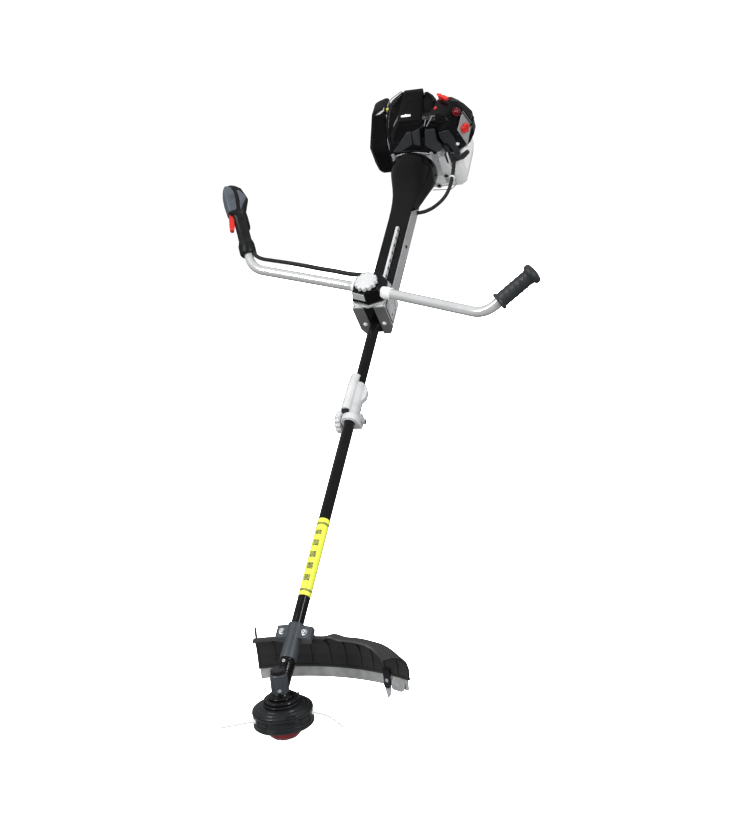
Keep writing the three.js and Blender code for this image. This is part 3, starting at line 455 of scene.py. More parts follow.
def swept(path, radius, sides=20, bore=0):
    """A round tube along a path. radius is a number, or a function of the point's index."""
    path = [Vector(point) for point in path]
    tangents = [(path[min(i + 1, len(path) - 1)] - path[max(i - 1, 0)]).normalized()
                for i in range(len(path))]
    normal = tangents[0].orthogonal().normalized()
    rings = []
    for i, (point, tangent) in enumerate(zip(path, tangents)):
        normal = (normal - tangent * normal.dot(tangent)).normalized()
        side = tangent.cross(normal)
        width = radius(i) if callable(radius) else radius
        angles = [k / sides * math.tau for k in range(sides)]
        rings.append([point + (normal * math.cos(a) + side * math.sin(a)) * width for a in angles])
    if bore:
        inner = [[middle + (p - middle).normalized() * bore for p in ring] for middle,
                 ring in zip(path, rings)]
        return skinned(rings + inner[::-1], closed=True)
    return skinned(rings)


# ---------- making a piece ----------
SHARP_FROM = 32
BEVEL_FROM = 28


def piece(name, shape, place, material, replaces=(), body="machine",
          bevel=0, steps=2, sharp=SHARP_FROM):
    """One visual piece with its finish, attached to a body or, when body is not a name, baked in place; the
    CAD nodes it stands for are hidden.
    """
    mesh = mesh_of(name, shape)
    mesh.validate()
    mesh.polygons.foreach_set("use_smooth", [True] * len(mesh.polygons))
    mesh.set_sharp_from_angle(angle=math.radians(sharp))
    mesh.materials.append(material)
    made = placed(name, mesh, place)
    if bevel:
        edge = made.modifiers.new("bevel", "BEVEL")
        edge.width = bevel * MM
        edge.segments = steps
        edge.limit_method = "ANGLE"
        edge.angle_limit = math.radians(BEVEL_FROM)
        edge.use_clamp_overlap = True
        made.modifiers.new("normals", "WEIGHTED_NORMAL").keep_sharp = True
    if isinstance(body, str):
        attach(made, body)
    else:
        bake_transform(made)
    if replaces:
        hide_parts(*replaces)
    return made


def carved(made, *cutters):
    """Cuts shapes, given in the piece's own frame, out of its mesh."""
    for shape in cutters:
        tool = placed("cutter", mesh_of("cutter", shape), made.matrix_world)
        modifier = made.modifiers.new("cut", "BOOLEAN")
        modifier.operation = "DIFFERENCE"
        modifier.solver = "EXACT"
        modifier.object = tool
        with bpy.context.temp_override(object=made, active_object=made):
            bpy.ops.object.modifier_move_to_index(modifier="cut", index=0)
            bpy.ops.object.modifier_apply(modifier="cut")
        bpy.data.objects.remove(tool)
    made.data.set_sharp_from_angle(angle=math.radians(SHARP_FROM))
    return made


def screw(radius, height):
    """A cap screw along Z with a socket in its head and a washer under it."""
    def knurl(angle, z):
        return 1 if z < height * 0.5 else 1 + 0.02 * math.cos(6 * angle)
    washer = disc(radius * 1.45, 0, height * 0.22, 32, 0.2)
    head = turned([[0, height * 0.55], [radius * 0.5, height * 0.55], [radius * 0.5, height],
                   [radius, height], [radius, height * 0.2], [0, height * 0.2]], 36, 0.35, knurl)
    return merged(washer, head)


def screws(name, spots, radius, height, place, turn=WORLD, material=STEEL, body="machine"):
    shapes = [moved(turned_by(screw(radius, height), turn), *spot) for spot in spots]
    piece(name, merged(*shapes), place, material, body=body)


def scalloped(radius, depth, lobes, start, stop, crown=2):
    """A hand knob about Z with hollows round its rim and a dish in its top."""
    def wave(angle, z):
        return 1 - depth / radius * (0.5 - 0.5 * math.cos(lobes * angle)) ** 2
    profile = [[0, start], [radius, start], [radius, stop - crown], [radius - crown * 2.2, stop],
               [radius * 0.45, stop], [radius * 0.40, stop - 1], [0, stop - 1]]
    return turned(profile, lobes * 10, 1.2, wave)


# ---------- cutting head ----------
LINE_EXIT_HEIGHT = 48
LINE_EXITS = (17, 221)
CLIP_ANGLES = (-50, 130)
SPOOL_FLOOR = 49.2
GREASE_SCREW_ANGLE = -70
PLUG_ANGLES = (GREASE_SCREW_ANGLE, GREASE_SCREW_ANGLE + 180)


def arc_block(inner, outer, low, high, start, stop, steps=12):
    """A piece of a ring between two angles in degrees."""
    corners = ((inner, low), (outer, low), (outer, high), (inner, high))
    rings = []
    for i in range(steps + 1):
        angle = math.radians(start + (stop - start) * i / steps)
        rings.append([polar(radius, angle, z) for radius, z in corners])
    return skinned(rings)


def cutting_head():
    def fluted(angle, z):
        return 1 - (0.03 * max(0, math.cos(8 * angle)) if 2 < z < 24.5 else 0)
    knob = turned([[0, 0.4], [17, 0], [28, 4], [35, 11], [37, 19], [36, 24], [28.6, 25], [28.6, 39], [10, 39],
                   [10, 51], [0, 51]], 96, 2, fluted)
    piece("bump_knob_shell", knob, WORLD, DARK_RED, ["bump_knob"], body="bump")

    cover = turned([[30, 31], [50, 31], [52, 32.5], [56, 31], [63.9, 31.4], [63.9, 35.6], [61.4, 36.6],
                    [63.2, 37.6], [63.2, 41.5], [60.6, 42.5], [61.6, 44], [61.6, 54.9], [58, 54.9], [58, 37],
                    [30, 37]], 128, 0.9, closed=True)
    ribs = [arc_block(60, 62.6, 43.4, 54.6, angle - 0.6, angle + 0.6, 2) for angle in range(-4, 356, 24)]
    piece("head_cover_shell", merged(cover, *ribs), WORLD, HEAD_BLACK, ["head_cover"], body="head")

    shell = turned([[5.4, 58.5], [12, 58.5], [12, 69], [38, 68], [56, 65], [59, 61], [59, 55.4], [61.8, 55.4],
                    [63.2, 57.5], [63.9, 60.5], [63.2, 64], [60, 66.6], [56, 68.2], [55, 69.6], [47, 71],
                    [46, 73], [40, 73.8], [5.4, 74]], 128, 0.8, closed=True)
    clips = []
    for angle in CLIP_ANGLES:
        clips.append(arc_block(61, 63.9, 55.6, 67.2, angle - 8.5, angle - 7.2, 3))
        clips.append(arc_block(61, 63.9, 55.6, 67.2, angle + 7.2, angle + 8.5, 3))
        clips.append(arc_block(58, 62.4, 55.8, 69.2, angle - 6.4, angle + 6.4, 6))
        clips.append(arc_block(61.6, 63.6, 47, 49.5, angle - 9, angle + 9, 6))
    piece("head_shell_top", merged(shell, *clips), WORLD, HEAD_BLACK, ["head_shell"], body="head")

    eyelets = []
    for angle in LINE_EXITS:
        ring = turned([[1.8, 60.4], [4.6, 60.4], [4.6, 63.2], [3.4, 63.9], [1.8, 63.2]], 32, 0.4, closed=True)
        eyelets.append(moved(turned_by(ring, about("Z", angle) @ TO_X), 0, 0, LINE_EXIT_HEIGHT))
    piece("line_eyelets", merged(*eyelets), WORLD, WHITE, body="head")


def bump_spring():
    """The bump spring: a steel coil of two and a half turns on the bump body."""
    low, high, radius, turns, steps = 60.8, 67, 16.5, 2.5, 75
    points = []
    for i in range(steps + 1):
        angle = i / steps * turns * math.tau
        points.append(polar(radius, angle, low + (high - low) * i / steps))
    coil = piece("bump_spring_wire", swept(points, 1.2, 10), WORLD, STEEL, ["bump_spring"], body="bump",
                 sharp=50)
    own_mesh(coil)


def trimmer_line():
    ends = []
    for i, degrees in enumerate(LINE_EXITS):
        angle = math.radians(degrees)
        out = Vector(polar(1, angle, 0))
        side = Vector((out.y, -out.x, 0))
        route = [(44, 0, 50.5), (60, 0, LINE_EXIT_HEIGHT), (82, 10 if i else 4, 45),
                 (104, 28 if i else 14, 38), (126, 54 if i else 34, 28)]
        path = spline([out * r + side * s + Vector((0, 0, z)) for r, s, z in route], 10)
        ends.append(swept(path, 1, 12))
    turns = []
    for radius in (26, 30, 34, 38, 42):
        winding = [polar(radius, k / 48 * math.tau, SPOOL_FLOOR + 5 * k / 96) for k in range(97)]
        turns.append(swept(winding, 1.1, 8))
    piece("line_ends_and_turns", merged(*ends, *turns), WORLD, NYLON, ["trimmer_line"], body="head")


def thrust_discs():
    discs = turned([[5.4, 74.4], [37, 74.4], [38.5, 75.6], [38.5, 77.6], [36, 79.4], [30, 80], [29, 81.2],
                    [30, 82.2], [36.4, 82.4], [37, 84], [36.2, 86], [28, 87.2], [16, 88], [5.4, 88]], 96, 0.7,
                   closed=True)
    lugs = [moved(turned_by(disc(4.2, -5, 5, 24), about("Z", angle) @ TO_X),
                  *polar(34, math.radians(angle), 84)) for angle in (40, 220)]
    piece("thrust_discs", merged(discs, *lugs), WORLD, DARK_STEEL, ["holder_discs"], body="head")


def gear_case():
    flange = turned([[6, 89], [28, 89], [28, 91.5], [25, 94], [20.5, 95.5], [19, 99], [6, 99]], 80, 0.8,
                    closed=True)
    plugs = [moved(turned_by(disc(2.6, 0, 4, 20), about("Z", angle) @ TO_X),
                   *polar(16.6, math.radians(angle), 101)) for angle in PLUG_ANGLES]
    tower = turned([[0, 97], [17.4, 97], [17.4, 135], [18, 136.2], [18, 138.6], [16.4, 140.4], [12, 141],
                    [0, 141]], 80, 0.7)
    facets = [arc_block(16, 18.4, 99, 132, angle - 9, angle + 9, 2) for angle in range(10, 370, 45)]
    piece("gear_tower", merged(tower, *facets), WORLD, PAINT_GREY, ["gear_case"], bevel=0.4)
    teeth = turned([[0, 141], [14, 141], [16.6, 142], [16.6, 148.4], [14.6, 150], [0, 150.4]], 96, 0.5,
                   lambda angle, z: 1 - 0.035 * max(0, math.cos(24 * angle)))
    piece("gear_tower_cap", teeth, WORLD, DARK_STEEL)
    neck = turned([[0, 12], [16.6, 12], [16.6, 36], [17.6, 38], [17.6, 50], [18.4, 51.5], [18.4, 63.4],
                   [15, 64], [13.2, 64]], 72, 0.8)
    piece("gear_neck", neck, SHAFT, TUBE_BLACK)
    piece("gear_foot", merged(flange, *plugs), WORLD, TUBE_BLACK)
    screws("gear_case_screws", [(0, 16.6, 57)], 3.4, 3.2, SHAFT, TO_Y)
    grease_screw = polar(17.6, math.radians(GREASE_SCREW_ANGLE), 108)
    screws("grease_screw", [grease_screw], 3, 2.2, WORLD, about("Z", GREASE_SCREW_ANGLE) @ TO_X)
    ears = merged(soft_prism([(-4, -24), (4, -24), (4, -12), (-4, -12)], 1.5, 44, 62),
                  soft_prism([(-9, -17), (9, -17), (9, -12), (-9, -12)], 1.5, 44, 62))
    piece("gear_neck_ears", ears, SHAFT, TUBE_BLACK, bevel=0.6)


# ---------- guard ----------
GUARD_CENTRE = (40, -250)
GUARD_RADIUS = 432
GUARD_FROM = 112
GUARD_TO = 62.5
GUARD_FOOT = 80
CUTTER_ANGLE = 70.5


def crown(share):
    """The guard's height humps a little right of the shaft and rounds off at its right end."""
    hump = 0.08 * math.exp(-((share - 0.55) / 0.05) ** 2) + 0.05 * math.exp(-((share - 0.74) / 0.15) ** 2)
    return 1 + hump - 0.26 * (max(0, share - 0.84) / 0.16) ** 2


def guard_point(reach, angle, z=0):
    return GUARD_CENTRE[0] + reach * math.cos(angle), GUARD_CENTRE[1] + reach * math.sin(angle), z


def along_guard(points, start, stop, steps, heights=crown):
    """[reach, height] points swept round the guard's centre between two angles in degrees."""
    rings = []
    for i in range(steps + 1):
        share = (i / steps * (stop - start) + start - GUARD_FROM) / (GUARD_TO - GUARD_FROM)
        angle = math.radians(start + (stop - start) * i / steps)
        ring = []
        for reach, z in points:
            height = GUARD_FOOT + (z - GUARD_FOOT) * (heights(share) if z > GUARD_FOOT else 1)
            ring.append(guard_point(reach, angle, height))
        rings.append(ring)
    return skinned(rings)


def guard():
    r = GUARD_RADIUS
    outer = filleted([(r, 0, GUARD_FOOT), (r + 1, 0, 111), (r - 5, 0, 136), (r - 20, 0, 155),
                      (r - 42, 0, 167), (r - 68, 0, 171.5)], 20, 4)
    inner = [(p.x - 3, 0, p.z - (3.2 if p.z > 112 else 0)) for p in reversed(outer)]
    wall = [(p[0], p[2]) for p in [*outer, *inner]]
    shell = along_guard(wall, GUARD_FROM, GUARD_TO, 64)
    bead = [(r + 1.4, GUARD_FOOT), (r + 1.4, GUARD_FOOT + 5), (r - 5, GUARD_FOOT + 5), (r - 5, GUARD_FOOT)]
    rim = along_guard(bead, GUARD_FROM, GUARD_TO, 64)
    thicker = [(x - (2 if x < r - 2 else 0), z) for x, z in wall]
    ends = [along_guard(thicker, start, stop, 2)
            for start, stop in ((GUARD_FROM, GUARD_FROM - 0.5), (GUARD_TO + 0.5, GUARD_TO))]
    rib = [(r - 2, GUARD_FOOT + 2), (r - 2, 112), (r - 9, 134), (r - 24, 150), (r - 42, 160), (r - 42, 158.4),
           (r - 25, 148), (r - 10.4, 131), (r - 4.4, 110), (r - 4.4, GUARD_FOOT + 2)]
    ribs = [along_guard(rib, angle, angle - 0.5, 1) for angle in (107, 102, 96, 90, 85, 80, 76, 72, 67)]
    pad = soft_prism([(-30, 112), (30, 112), (34, 134), (-34, 134)], 6, 160, 172.4)
    piece("guard_shell", merged(shell, rim, *ends, *ribs, pad), WORLD, GUARD_BLACK, ["guard"])


def guard_trim():
    r = GUARD_RADIUS
    hem = GUARD_FOOT - 24
    strip = [(r - 0.2, hem), (r - 0.2, GUARD_FOOT), (r - 2.8, GUARD_FOOT), (r - 2.8, hem)]
    skirt = along_guard(strip, GUARD_FROM - 0.4, GUARD_TO + 0.6, 56)
    fold = [(r - 3, hem + 1), (r - 3, GUARD_FOOT), (r - 5.4, GUARD_FOOT), (r - 5.4, hem + 1)]
    curl = along_guard(fold, GUARD_TO + 4.6, GUARD_TO + 0.4, 8)
    flap_angle = GUARD_TO + 3.6
    roll = rounded_outline([(-17, -13), (17, -13), (19, 4), (13, 15), (-13, 15), (-19, 4)], 9, 5)
    flap_at = Matrix.Translation(guard_point(r - 9, math.radians(flap_angle), 66))
    flap = turned_by(prism(roll, -1.2, 1.2, "Y"), flap_at @ about("Z", flap_angle - 90) @ about("X", -14))
    piece("guard_skirt_strip", merged(skirt, curl, flap), WORLD, SKIRT_GREY, ["guard_skirt"], bevel=0.5)


def line_cutter():
    r = GUARD_RADIUS
    angle = math.radians(CUTTER_ANGLE)
    place = shift(*guard_point(r - 5, angle)) @ about("Z", CUTTER_ANGLE - 90)
    bracket = soft_prism([(96, -9), (96, 9), (58, 9), (50, 4), (50, -6), (58, -9)], 2, -1.2, 1.2, "Y")
    bracket = ([(y, w, x) for x, w, y in bracket[0]], bracket[1])
    blade = ([(-7.5, -0.9, 60), (7.5, -0.9, 60), (4, -0.9, 34), (-2.4, -0.9, 26), (-7.5, -0.9, 46),
              (-7.5, 0.9, 60), (7.5, 0.9, 60), (4, 0.2, 34), (-2.4, 0.2, 26), (-7.5, 0.9, 46)],
             [[0, 1, 2, 3, 4], [9, 8, 7, 6, 5], [0, 5, 6, 1], [1, 6, 7, 2], [2, 7, 8, 3], [3, 8, 9, 4],
              [4, 9, 5, 0]])
    piece("cutter_blade", blade, place, STEEL, ["line_cutter"], bevel=0.2)
    piece("cutter_bracket", moved(bracket, 0, -2.4, 0), place, DARK_STEEL, bevel=0.3)
    screws("cutter_screw", [(0, -3.6, 68)], 3, 2, place, about("X", 90))


def guard_fin():
    r = GUARD_RADIUS
    fin_edge = [(r + 0.5, 84), (r + 0.5, 176), (r - 2, 166), (r - 2, 84)]
    fin = along_guard(fin_edge, GUARD_FROM, GUARD_FROM - 0.45, 1, lambda share: 1)
    piece("guard_end_fin", fin, WORLD, PAINT_GREY, bevel=0.4)


def guard_clamp():
    sleeve = turned([[13.3, 68], [17.6, 68], [18.2, 70], [18.2, 148], [17.6, 150], [13.3, 150]], 72, 0.7,
                    closed=True)
    wings = soft_prism([(-41, -9), (-12, -13), (12, -13), (41, -9), (41, 7), (14, 13), (-14, 13), (-41, 7)],
                       3, 114, 144)
    piece("guard_clamp_body", merged(sleeve, wings), SHAFT, PAINT_GREY, ["guard_clamp"], bevel=1)
    straps = [box((side * 26 - 11, 7, 115), (side * 26 + 11, 10, 143)) for side in (-1, 1)]
    piece("guard_clamp_straps", merged(*straps), SHAFT, PAINT_GREY, bevel=1)
    screws("guard_clamp_bolts", [(-26, 10, 129), (26, 10, 129)], 5, 6, SHAFT, TO_Y)
    foot = soft_prism([(-34, -24), (34, -24), (34, -12), (-34, -12)], 3, 118, 142)
    piece("guard_clamp_foot", foot, SHAFT, GUARD_BLACK, bevel=1)


# ---------- tubes and coupler ----------
TUBE_RADIUS = 13
COUPLER_SPLIT = 772
CROSS_BOLT = {"up": -20, "along": 718}
LABEL = {"start": 219, "end": 418, "line": 3, "mark": 7}
LABEL_BANDS = ((232, 3), (404, 3), (262, 8), (292, 8), (322, 8), (352, 8), (380, 6))


def label_material():
    """A pale sleeve with two thin dark bands across it and a row of blank marks between them."""
    material, nodes, links, shader, place = graph("printed_sleeve")
    axes = nodes.new("ShaderNodeSeparateXYZ")
    links.new(place, axes.inputs["Vector"])

    def stripe(value, centre, half):
        compare = nodes.new("ShaderNodeMath")
        compare.operation = "COMPARE"
        compare.inputs[1].default_value = centre * MM
        compare.inputs[2].default_value = half * MM
        links.new(value, compare.inputs[0])
        return compare.outputs["Value"]

    along, across = axes.outputs["Z"], axes.outputs["X"]
    marks = None
    for centre, half in LABEL_BANDS:
        band = stripe(along, centre, half)
        if half > LABEL["line"]:
            band = combined(nodes, links, band, stripe(across, 0, LABEL["mark"]), "MULTIPLY")
        marks = band if marks is None else combined(nodes, links, marks, band, "MAXIMUM")
    speck = noise(nodes, links, place, 420, 2)
    grain = spread(nodes, links, speck, 0.55, 1, 0.4, 0.6)
    inked = combined(nodes, links, marks, grain, "MULTIPLY")
    links.new(tinted(nodes, links, inked, (0.80, 0.86, 0.075), (0.05, 0.05, 0.04)),
              shader.inputs["Base Color"])
    links.new(spread(nodes, links, noise(nodes, links, place, 60), 0.28, 0.42), shader.inputs["Roughness"])
    bumped(nodes, links, shader, noise(nodes, links, place, 700), 0.15, 0.0001)
    return material


def tubes():
    lower = hollow(11.5, TUBE_RADIUS, 41, COUPLER_SPLIT, 72)
    piece("lower_tube_painted", lower, SHAFT, TUBE_BLACK, ["lower_tube"])
    upper = hollow(11.5, TUBE_RADIUS, COUPLER_SPLIT + 1, 1552, 72)
    piece("upper_tube_painted", upper, SHAFT, TUBE_BLACK, ["upper_tube"])
    sleeve = hollow(TUBE_RADIUS + 0.1, TUBE_RADIUS + 0.6, LABEL["start"], LABEL["end"], 72, 0.2)
    piece("printed_sleeve", sleeve, SHAFT, label_material())


def coupler():
    body = turned([[13.3, 698], [17, 698], [18.6, 701], [18.8, 704], [19.2, 802], [18.4, 812], [16.6, 817],
                   [13.3, 817]], 72, 1.5, closed=True)
    wing = soft_prism([(-14, 816), (-19, 812), (-28, 792), (-27, 774), (-20, 764), (-14, 760)], 3, -6, 6, "Y")
    ears = soft_prism([(700, -6), (736, -6), (733, -31), (703, -31)], 5, -22, 22, "X")
    seam = [arc_block(18.6, 19.8, z, z + 1.6, 0, 360, 48) for z in (744, 798)]
    piece("coupler_casting", merged(body, wing, ears, *seam), SHAFT, CAST_ALLOY, ["coupler_body"], bevel=1.2,
          steps=3)
    lobe_outline = rounded_outline(cut_corners(-1, 20, 6, 30, 6), 4)
    lobe = skinned([[(x - shift_x, y - drop * (y > 12), z) for x, y in lobe_outline] for z, shift_x,
                    drop in ((725, 0, 0), (727, 0, 0), (812, 1, 1), (832, 1.5, 5), (838, 2, 9))])
    piece("coupler_pale_lobe", lobe, SHAFT, PALE_ALLOY, bevel=1.6, steps=3)
    collar = turned([[18.9, 699], [21.4, 700], [21.4, 716], [18.9, 717]], 72, 0.6, closed=True)
    piece("coupler_pale_collar", collar, SHAFT, PALE_ALLOY)
    # A dark box stands for the shaded slot above the collar: painted shade.
    piece("coupler_slot_painted_shade", box((0, 12, 718.4), (18, 25, 724.8)), SHAFT, DARK_STEEL, bevel=0.5)
    place = SHAFT @ shift(0, CROSS_BOLT["up"], CROSS_BOLT["along"])
    knob = turned_by(merged(scalloped(27, 4.4, 12, 26, 41), disc(11, 22.4, 27, 40)), TO_X)
    piece("coupler_hand_knob", knob, place, PALE_ALLOY, ["coupler_knob"], body="coupler_wheel")
    # A dark disc in the gap under the knob stands for the shade there: painted shade.
    shadow_gap = turned_by(disc(17, 22.6, 25.2, 48), TO_X)
    piece("coupler_knob_painted_shadow_disc", shadow_gap, place, DARK_STEEL, body="coupler_wheel")
    nut = turned([[0, -31], [7, -31], [7, -24], [0, -24]], 6, 0.4)
    bolt = merged(turned_by(disc(4, -31, 38, 32), TO_X), turned_by(nut, TO_X))
    piece("coupler_cross_bolt", bolt, place, STEEL, ["coupler_bolt"])


# ---------- frame channel, long cover and harness rail ----------
FRAME_HALF = 30.5
RAIL = {"x": -8, "start": 1119, "end": 1346, "holes": 8}


def frame_rail():
    low, top, wall = -26, 19, 3
    outline = [(-FRAME_HALF, low), (FRAME_HALF, low), (FRAME_HALF, top), (FRAME_HALF - wall, top),
               (FRAME_HALF - wall, low + wall), (-FRAME_HALF + wall, low + wall), (-FRAME_HALF + wall, top),
               (-FRAME_HALF, top)]
    piece("channel_extrusion", prism(outline, 1026, 1478), SHAFT, SATIN_ALLOY, ["frame_channel"], bevel=0.8)
    lips = [box((side * 30.7 - 0.5, 14, 1112), (side * 30.7 + 0.5, 19.4, 1478)) for side in (-1, 1)]
    piece("channel_lips", merged(*lips), SHAFT, BRIGHT_ALLOY, bevel=0.3)
    screws("channel_screws", [(-31, -2, along) for along in (1128, 1300, 1458)], 3.4, 2.6, SHAFT,
           about("Y", -90), DARK_STEEL)


def long_cover():
    levels = [(1112, 30.5, 18.6, 22.5, 9), (1113, 30.5, 18.6, 22.5, 9), (1392, 30.5, 18.6, 22.5, 9),
             (1424, 31.4, 12, 23.4, 9), (1456, 34.5, -14, 25, 8), (1486, 39, -24, 27.5, 6),
             (1516, 46, -32, 33, 4.6), (1545, 54, -42, 44, 3.5), (1570, 61, -53, 55, 2.8),
             (1592, 65.5, -63.5, 64, 2.3), (1606, 66, -66, 66, 2.1), (1611, 65, -65, 65, 2)]
    piece("long_cover_bell", lofted(section, *levels), SHAFT, GLOSS_BLACK, ["long_cover"], bevel=0.6,
          sharp=50)


def harness_rail():
    base = 22.8
    pitch = (RAIL["end"] - RAIL["start"]) / RAIL["holes"]
    outline = rounded_outline([(RAIL["start"], base), (RAIL["end"], base), (RAIL["end"] - 1, base + 14),
                               (RAIL["start"] + 1, base + 14)], 6.8, 6)
    plate = piece("harness_rail_plate", prism(outline, RAIL["x"] - 3, RAIL["x"] + 3, "X"), SHAFT, PALE_ALLOY,
                  ["harness_rail"], bevel=0.8)
    spots = [(RAIL["x"], base + 7.4, RAIL["start"] + pitch * (i + 0.5)) for i in range(RAIL["holes"])]
    carved(plate, *[moved(turned_by(disc(5.2, -9, 9, 28, 0), TO_X), *spot) for spot in spots])
    # Dark discs set inside the rail's holes stand for the shade in them: painted shade.
    shades = [moved(turned_by(disc(5.1, -2.7, 2.7, 28, 0.2), TO_X), *spot) for spot in spots]
    piece("harness_rail_painted_hole_shades", merged(*shades), SHAFT, DARK_STEEL)
    foot = box((RAIL["x"] - 5, base, RAIL["start"] + 4), (RAIL["x"] + 5, base + 1.4, RAIL["end"] - 4))
    piece("harness_rail_foot", foot, SHAFT, DARK_STEEL, bevel=0.4)


# ---------- handlebar clamp ----------
BASE = {"half": 43, "low": -34, "top": 61, "start": 1024, "end": 1104}
CAP = {"half": 40, "low": 68.3, "top": 102, "front": -42, "back": 44}


def clamp_base():
    half, low, top, start, end = (BASE[key] for key in ("half", "low", "top", "start", "end"))
    outline = [(-half, top), (-half, -16), (-34, low), (34, low), (half, -16), (half, top), (half - 5, top),
               (half - 5, -13), (31.5, low + 5), (31.5, -26.5), (-31.5, -26.5), (-31.5, low + 5),
               (-half + 5, -13), (-half + 5, top)]
    lid = soft_prism([(-half, top - 6), (half, top - 6), (half, top), (-half, top)], 1.5, start, end)
    shelf = box((-half + 3, 19.4, start + 2), (half - 3, 24, end - 2))
    piece("clamp_base_casting", merged(prism(outline, start, end), lid, shelf), SHAFT, PALE_ALLOY,
          ["clamp_base"], bevel=1.2, steps=3)
    plate_outline = rounded_outline([(-half, top), (-half, -17), (-33, -37), (33, -37), (half, -17),
                                     (half, top)], 4)
    plate = piece("clamp_front_plate", prism(plate_outline, start - 4, start - 0.3), SHAFT, PLATE_GREY,
                  ["front_plate"], bevel=0.7)
    carved(plate, box((-14, -45, start - 9), (14, top + 5, start + 5)))
    # A gloss black box behind the front plate's cut-out darkens the inside of the clamp base: painted shade.
    inner_shade_box = piece("clamp_painted_inner_shade", box((-30, -32, start - 0.2), (30, top - 1, start + 2.6)), SHAFT,
                   GLOSS_BLACK)
    carved(inner_shade_box, disc(TUBE_RADIUS + 0.2, start - 3, start + 5, 48, 0))
    screws("front_plate_screws", [(side * 26, 2, start - 4) for side in (-1, 1)], 4, 3, SHAFT,
           about("X", 180), WHITE)
    cheek = rounded_outline([(start + 3, -10), (start + 52, -10), (start + 77, 24), (start + 77, 56),
                             (start + 3, 56)], 5)
    inset = rounded_outline([(start + 7, -6), (start + 49, -6), (start + 73, 26), (start + 73, 52),
                             (start + 7, 52)], 4)
    piece("clamp_side_outline", prism(cheek, -half - 0.5, -half, "X"), SHAFT, DARK_STEEL)
    panel = piece("clamp_side_panel", prism(inset, -half - 1.2, -half - 0.4, "X"), SHAFT, BRIGHT_ALLOY,
                  bevel=0.4)
    carved(panel, moved(turned_by(disc(4, -4, 4, 28, 0), TO_X), -half, 6, start + 20))


def cap_plan(scale=1, front=CAP["front"]):
    half, back = CAP["half"] * scale, CAP["back"] * scale
    front *= scale
    return [(-half + 8, back), (-half, back - 10), (-half, front + 14), (0, front), (half, front + 14),
            (half, back - 10), (half - 8, back)]


def clamp_top():
    band = soft_prism(cap_plan(1.06, CAP["front"] - 1), 2.5, BASE["top"] + 0.3, CAP["low"] - 0.3, "Y")
    piece("clamp_band", band, CLAMP, BRIGHT_ALLOY, ["clamp_jaw"], body="bar", bevel=0.8)
    low, top = CAP["low"], CAP["top"]
    levels = ((low, 1), (low + 8, 1.03), (low + 9.2, 1.0), (top - 2, 0.90), (top + 0.4, 0.86),
              (top + 1, 0.83))
    cap = skinned([[(x, y, z) for x, z in cap_plan(scale)] for y, scale in levels])
    piece("clamp_cap_shell", cap, CLAMP, GLOSS_BLACK, ["clamp_cap"], body="bar", bevel=1.0, steps=3)
    front = [(38.8, 83, -28.0), (1.6, 83, -41.6), (1.6, 101.4, -37.6), (35.0, 101.4, -25.2)]
    back = [(x - 1.2, y - 0.4, z + 3) for x, y, z in front]
    facet = (front + back, [[3, 2, 1, 0], [4, 5, 6, 7], [1, 5, 4, 0], [2, 6, 5, 1], [3, 7, 6, 2],
                            [0, 4, 7, 3]])
    piece("clamp_cap_plate", facet, CLAMP, BRIGHT_ALLOY, body="bar", bevel=0.4)
    knob = turned_by(merged(scalloped(30, 4.6, 12, 106, 120, 3), disc(15, 104, 107, 48)), TO_Y)
    piece("clamp_hand_knob", knob, CLAMP, PALE_ALLOY, ["clamp_knob"], body="clamp_wheel")
    seat = turned_by(disc(20, 102.2, 104.6, 48), TO_Y)
    piece("clamp_knob_washer", seat, CLAMP, DARK_STEEL, body="clamp_wheel")
    head = turned([[0, 49], [7.5, 49], [7.5, 54.6], [0, 54.6]], 6, 0.4)
    bolt = turned_by(merged(disc(4, 50, 114, 32), head), TO_Y)
    piece("clamp_stud", bolt, CLAMP, STEEL, ["clamp_bolt"])
    turn = about("Y", math.degrees(BAR_SWING)) @ TO_X
    sizes = ((15.5, -68, -40), (14.5, 40, 48))
    collars = [turned_by(hollow(12.2, radius, start, stop, 56, 1.4), turn) for radius, start, stop in sizes]
    piece("clamp_collars", merged(*[moved(c, 0, BAR_UP, 0) for c in collars]), CLAMP, WHITE, body="bar")


# ---------- handlebar, grips and throttle ----------
BAR_RADIUS = 12
GRIP_START = 44
GRIP_LENGTH = 108
RIGHT_BAR_END = 150
SLEEVE = {"radius": 5.5, "pitch": 3.2}
THROTTLE_CABLE = ((362, 43.6, 16.1), (355.6, 40.4, 9.1), (338, 33, 8), (310, 26, 14), (262, 19, 22),
                  (214, 15, 26), (166, 12, 28), (118, 11, 30), (82, 8, 32), (56, 4, 38), (34, 0, 45),
                  (14, -4, 47))


def handlebar():
    def end(side):
        g = GRIP_DIRECTION * RIGHT_BAR_END
        return (side * (BAR_CORNER.x + g.x), BAR_CORNER.y + g.y, BAR_CORNER.z + g.z)
    corner = tuple(BAR_CORNER)
    bends = [end(-1), (-corner[0], corner[1], corner[2]), (-64, 0, 0), (64, 0, 0), corner, end(1)]
    path = filleted(bends, 62, 14)
    piece("handlebar_tube", swept(path, BAR_RADIUS - 0.05, 40, BAR_RADIUS - 2), BAR, CHROME_BAR,
          ["handlebar"], body="bar", sharp=50)


def corrugated(name, points, place, body, node):
    """A ribbed sleeve along a cord's route, with plain ends."""
    path = resampled(spline(points, 12), SLEEVE["pitch"] / 4)
    last = len(path) - 1

    def ridge(i):
        plain = i < 3 or i > last - 3
        return SLEEVE["radius"] - (0 if plain else 0.45 - 0.45 * math.cos(i / 4 * math.tau))
    piece(name, swept(path, ridge, 20), place, RUBBER, [node], body=body, sharp=60)


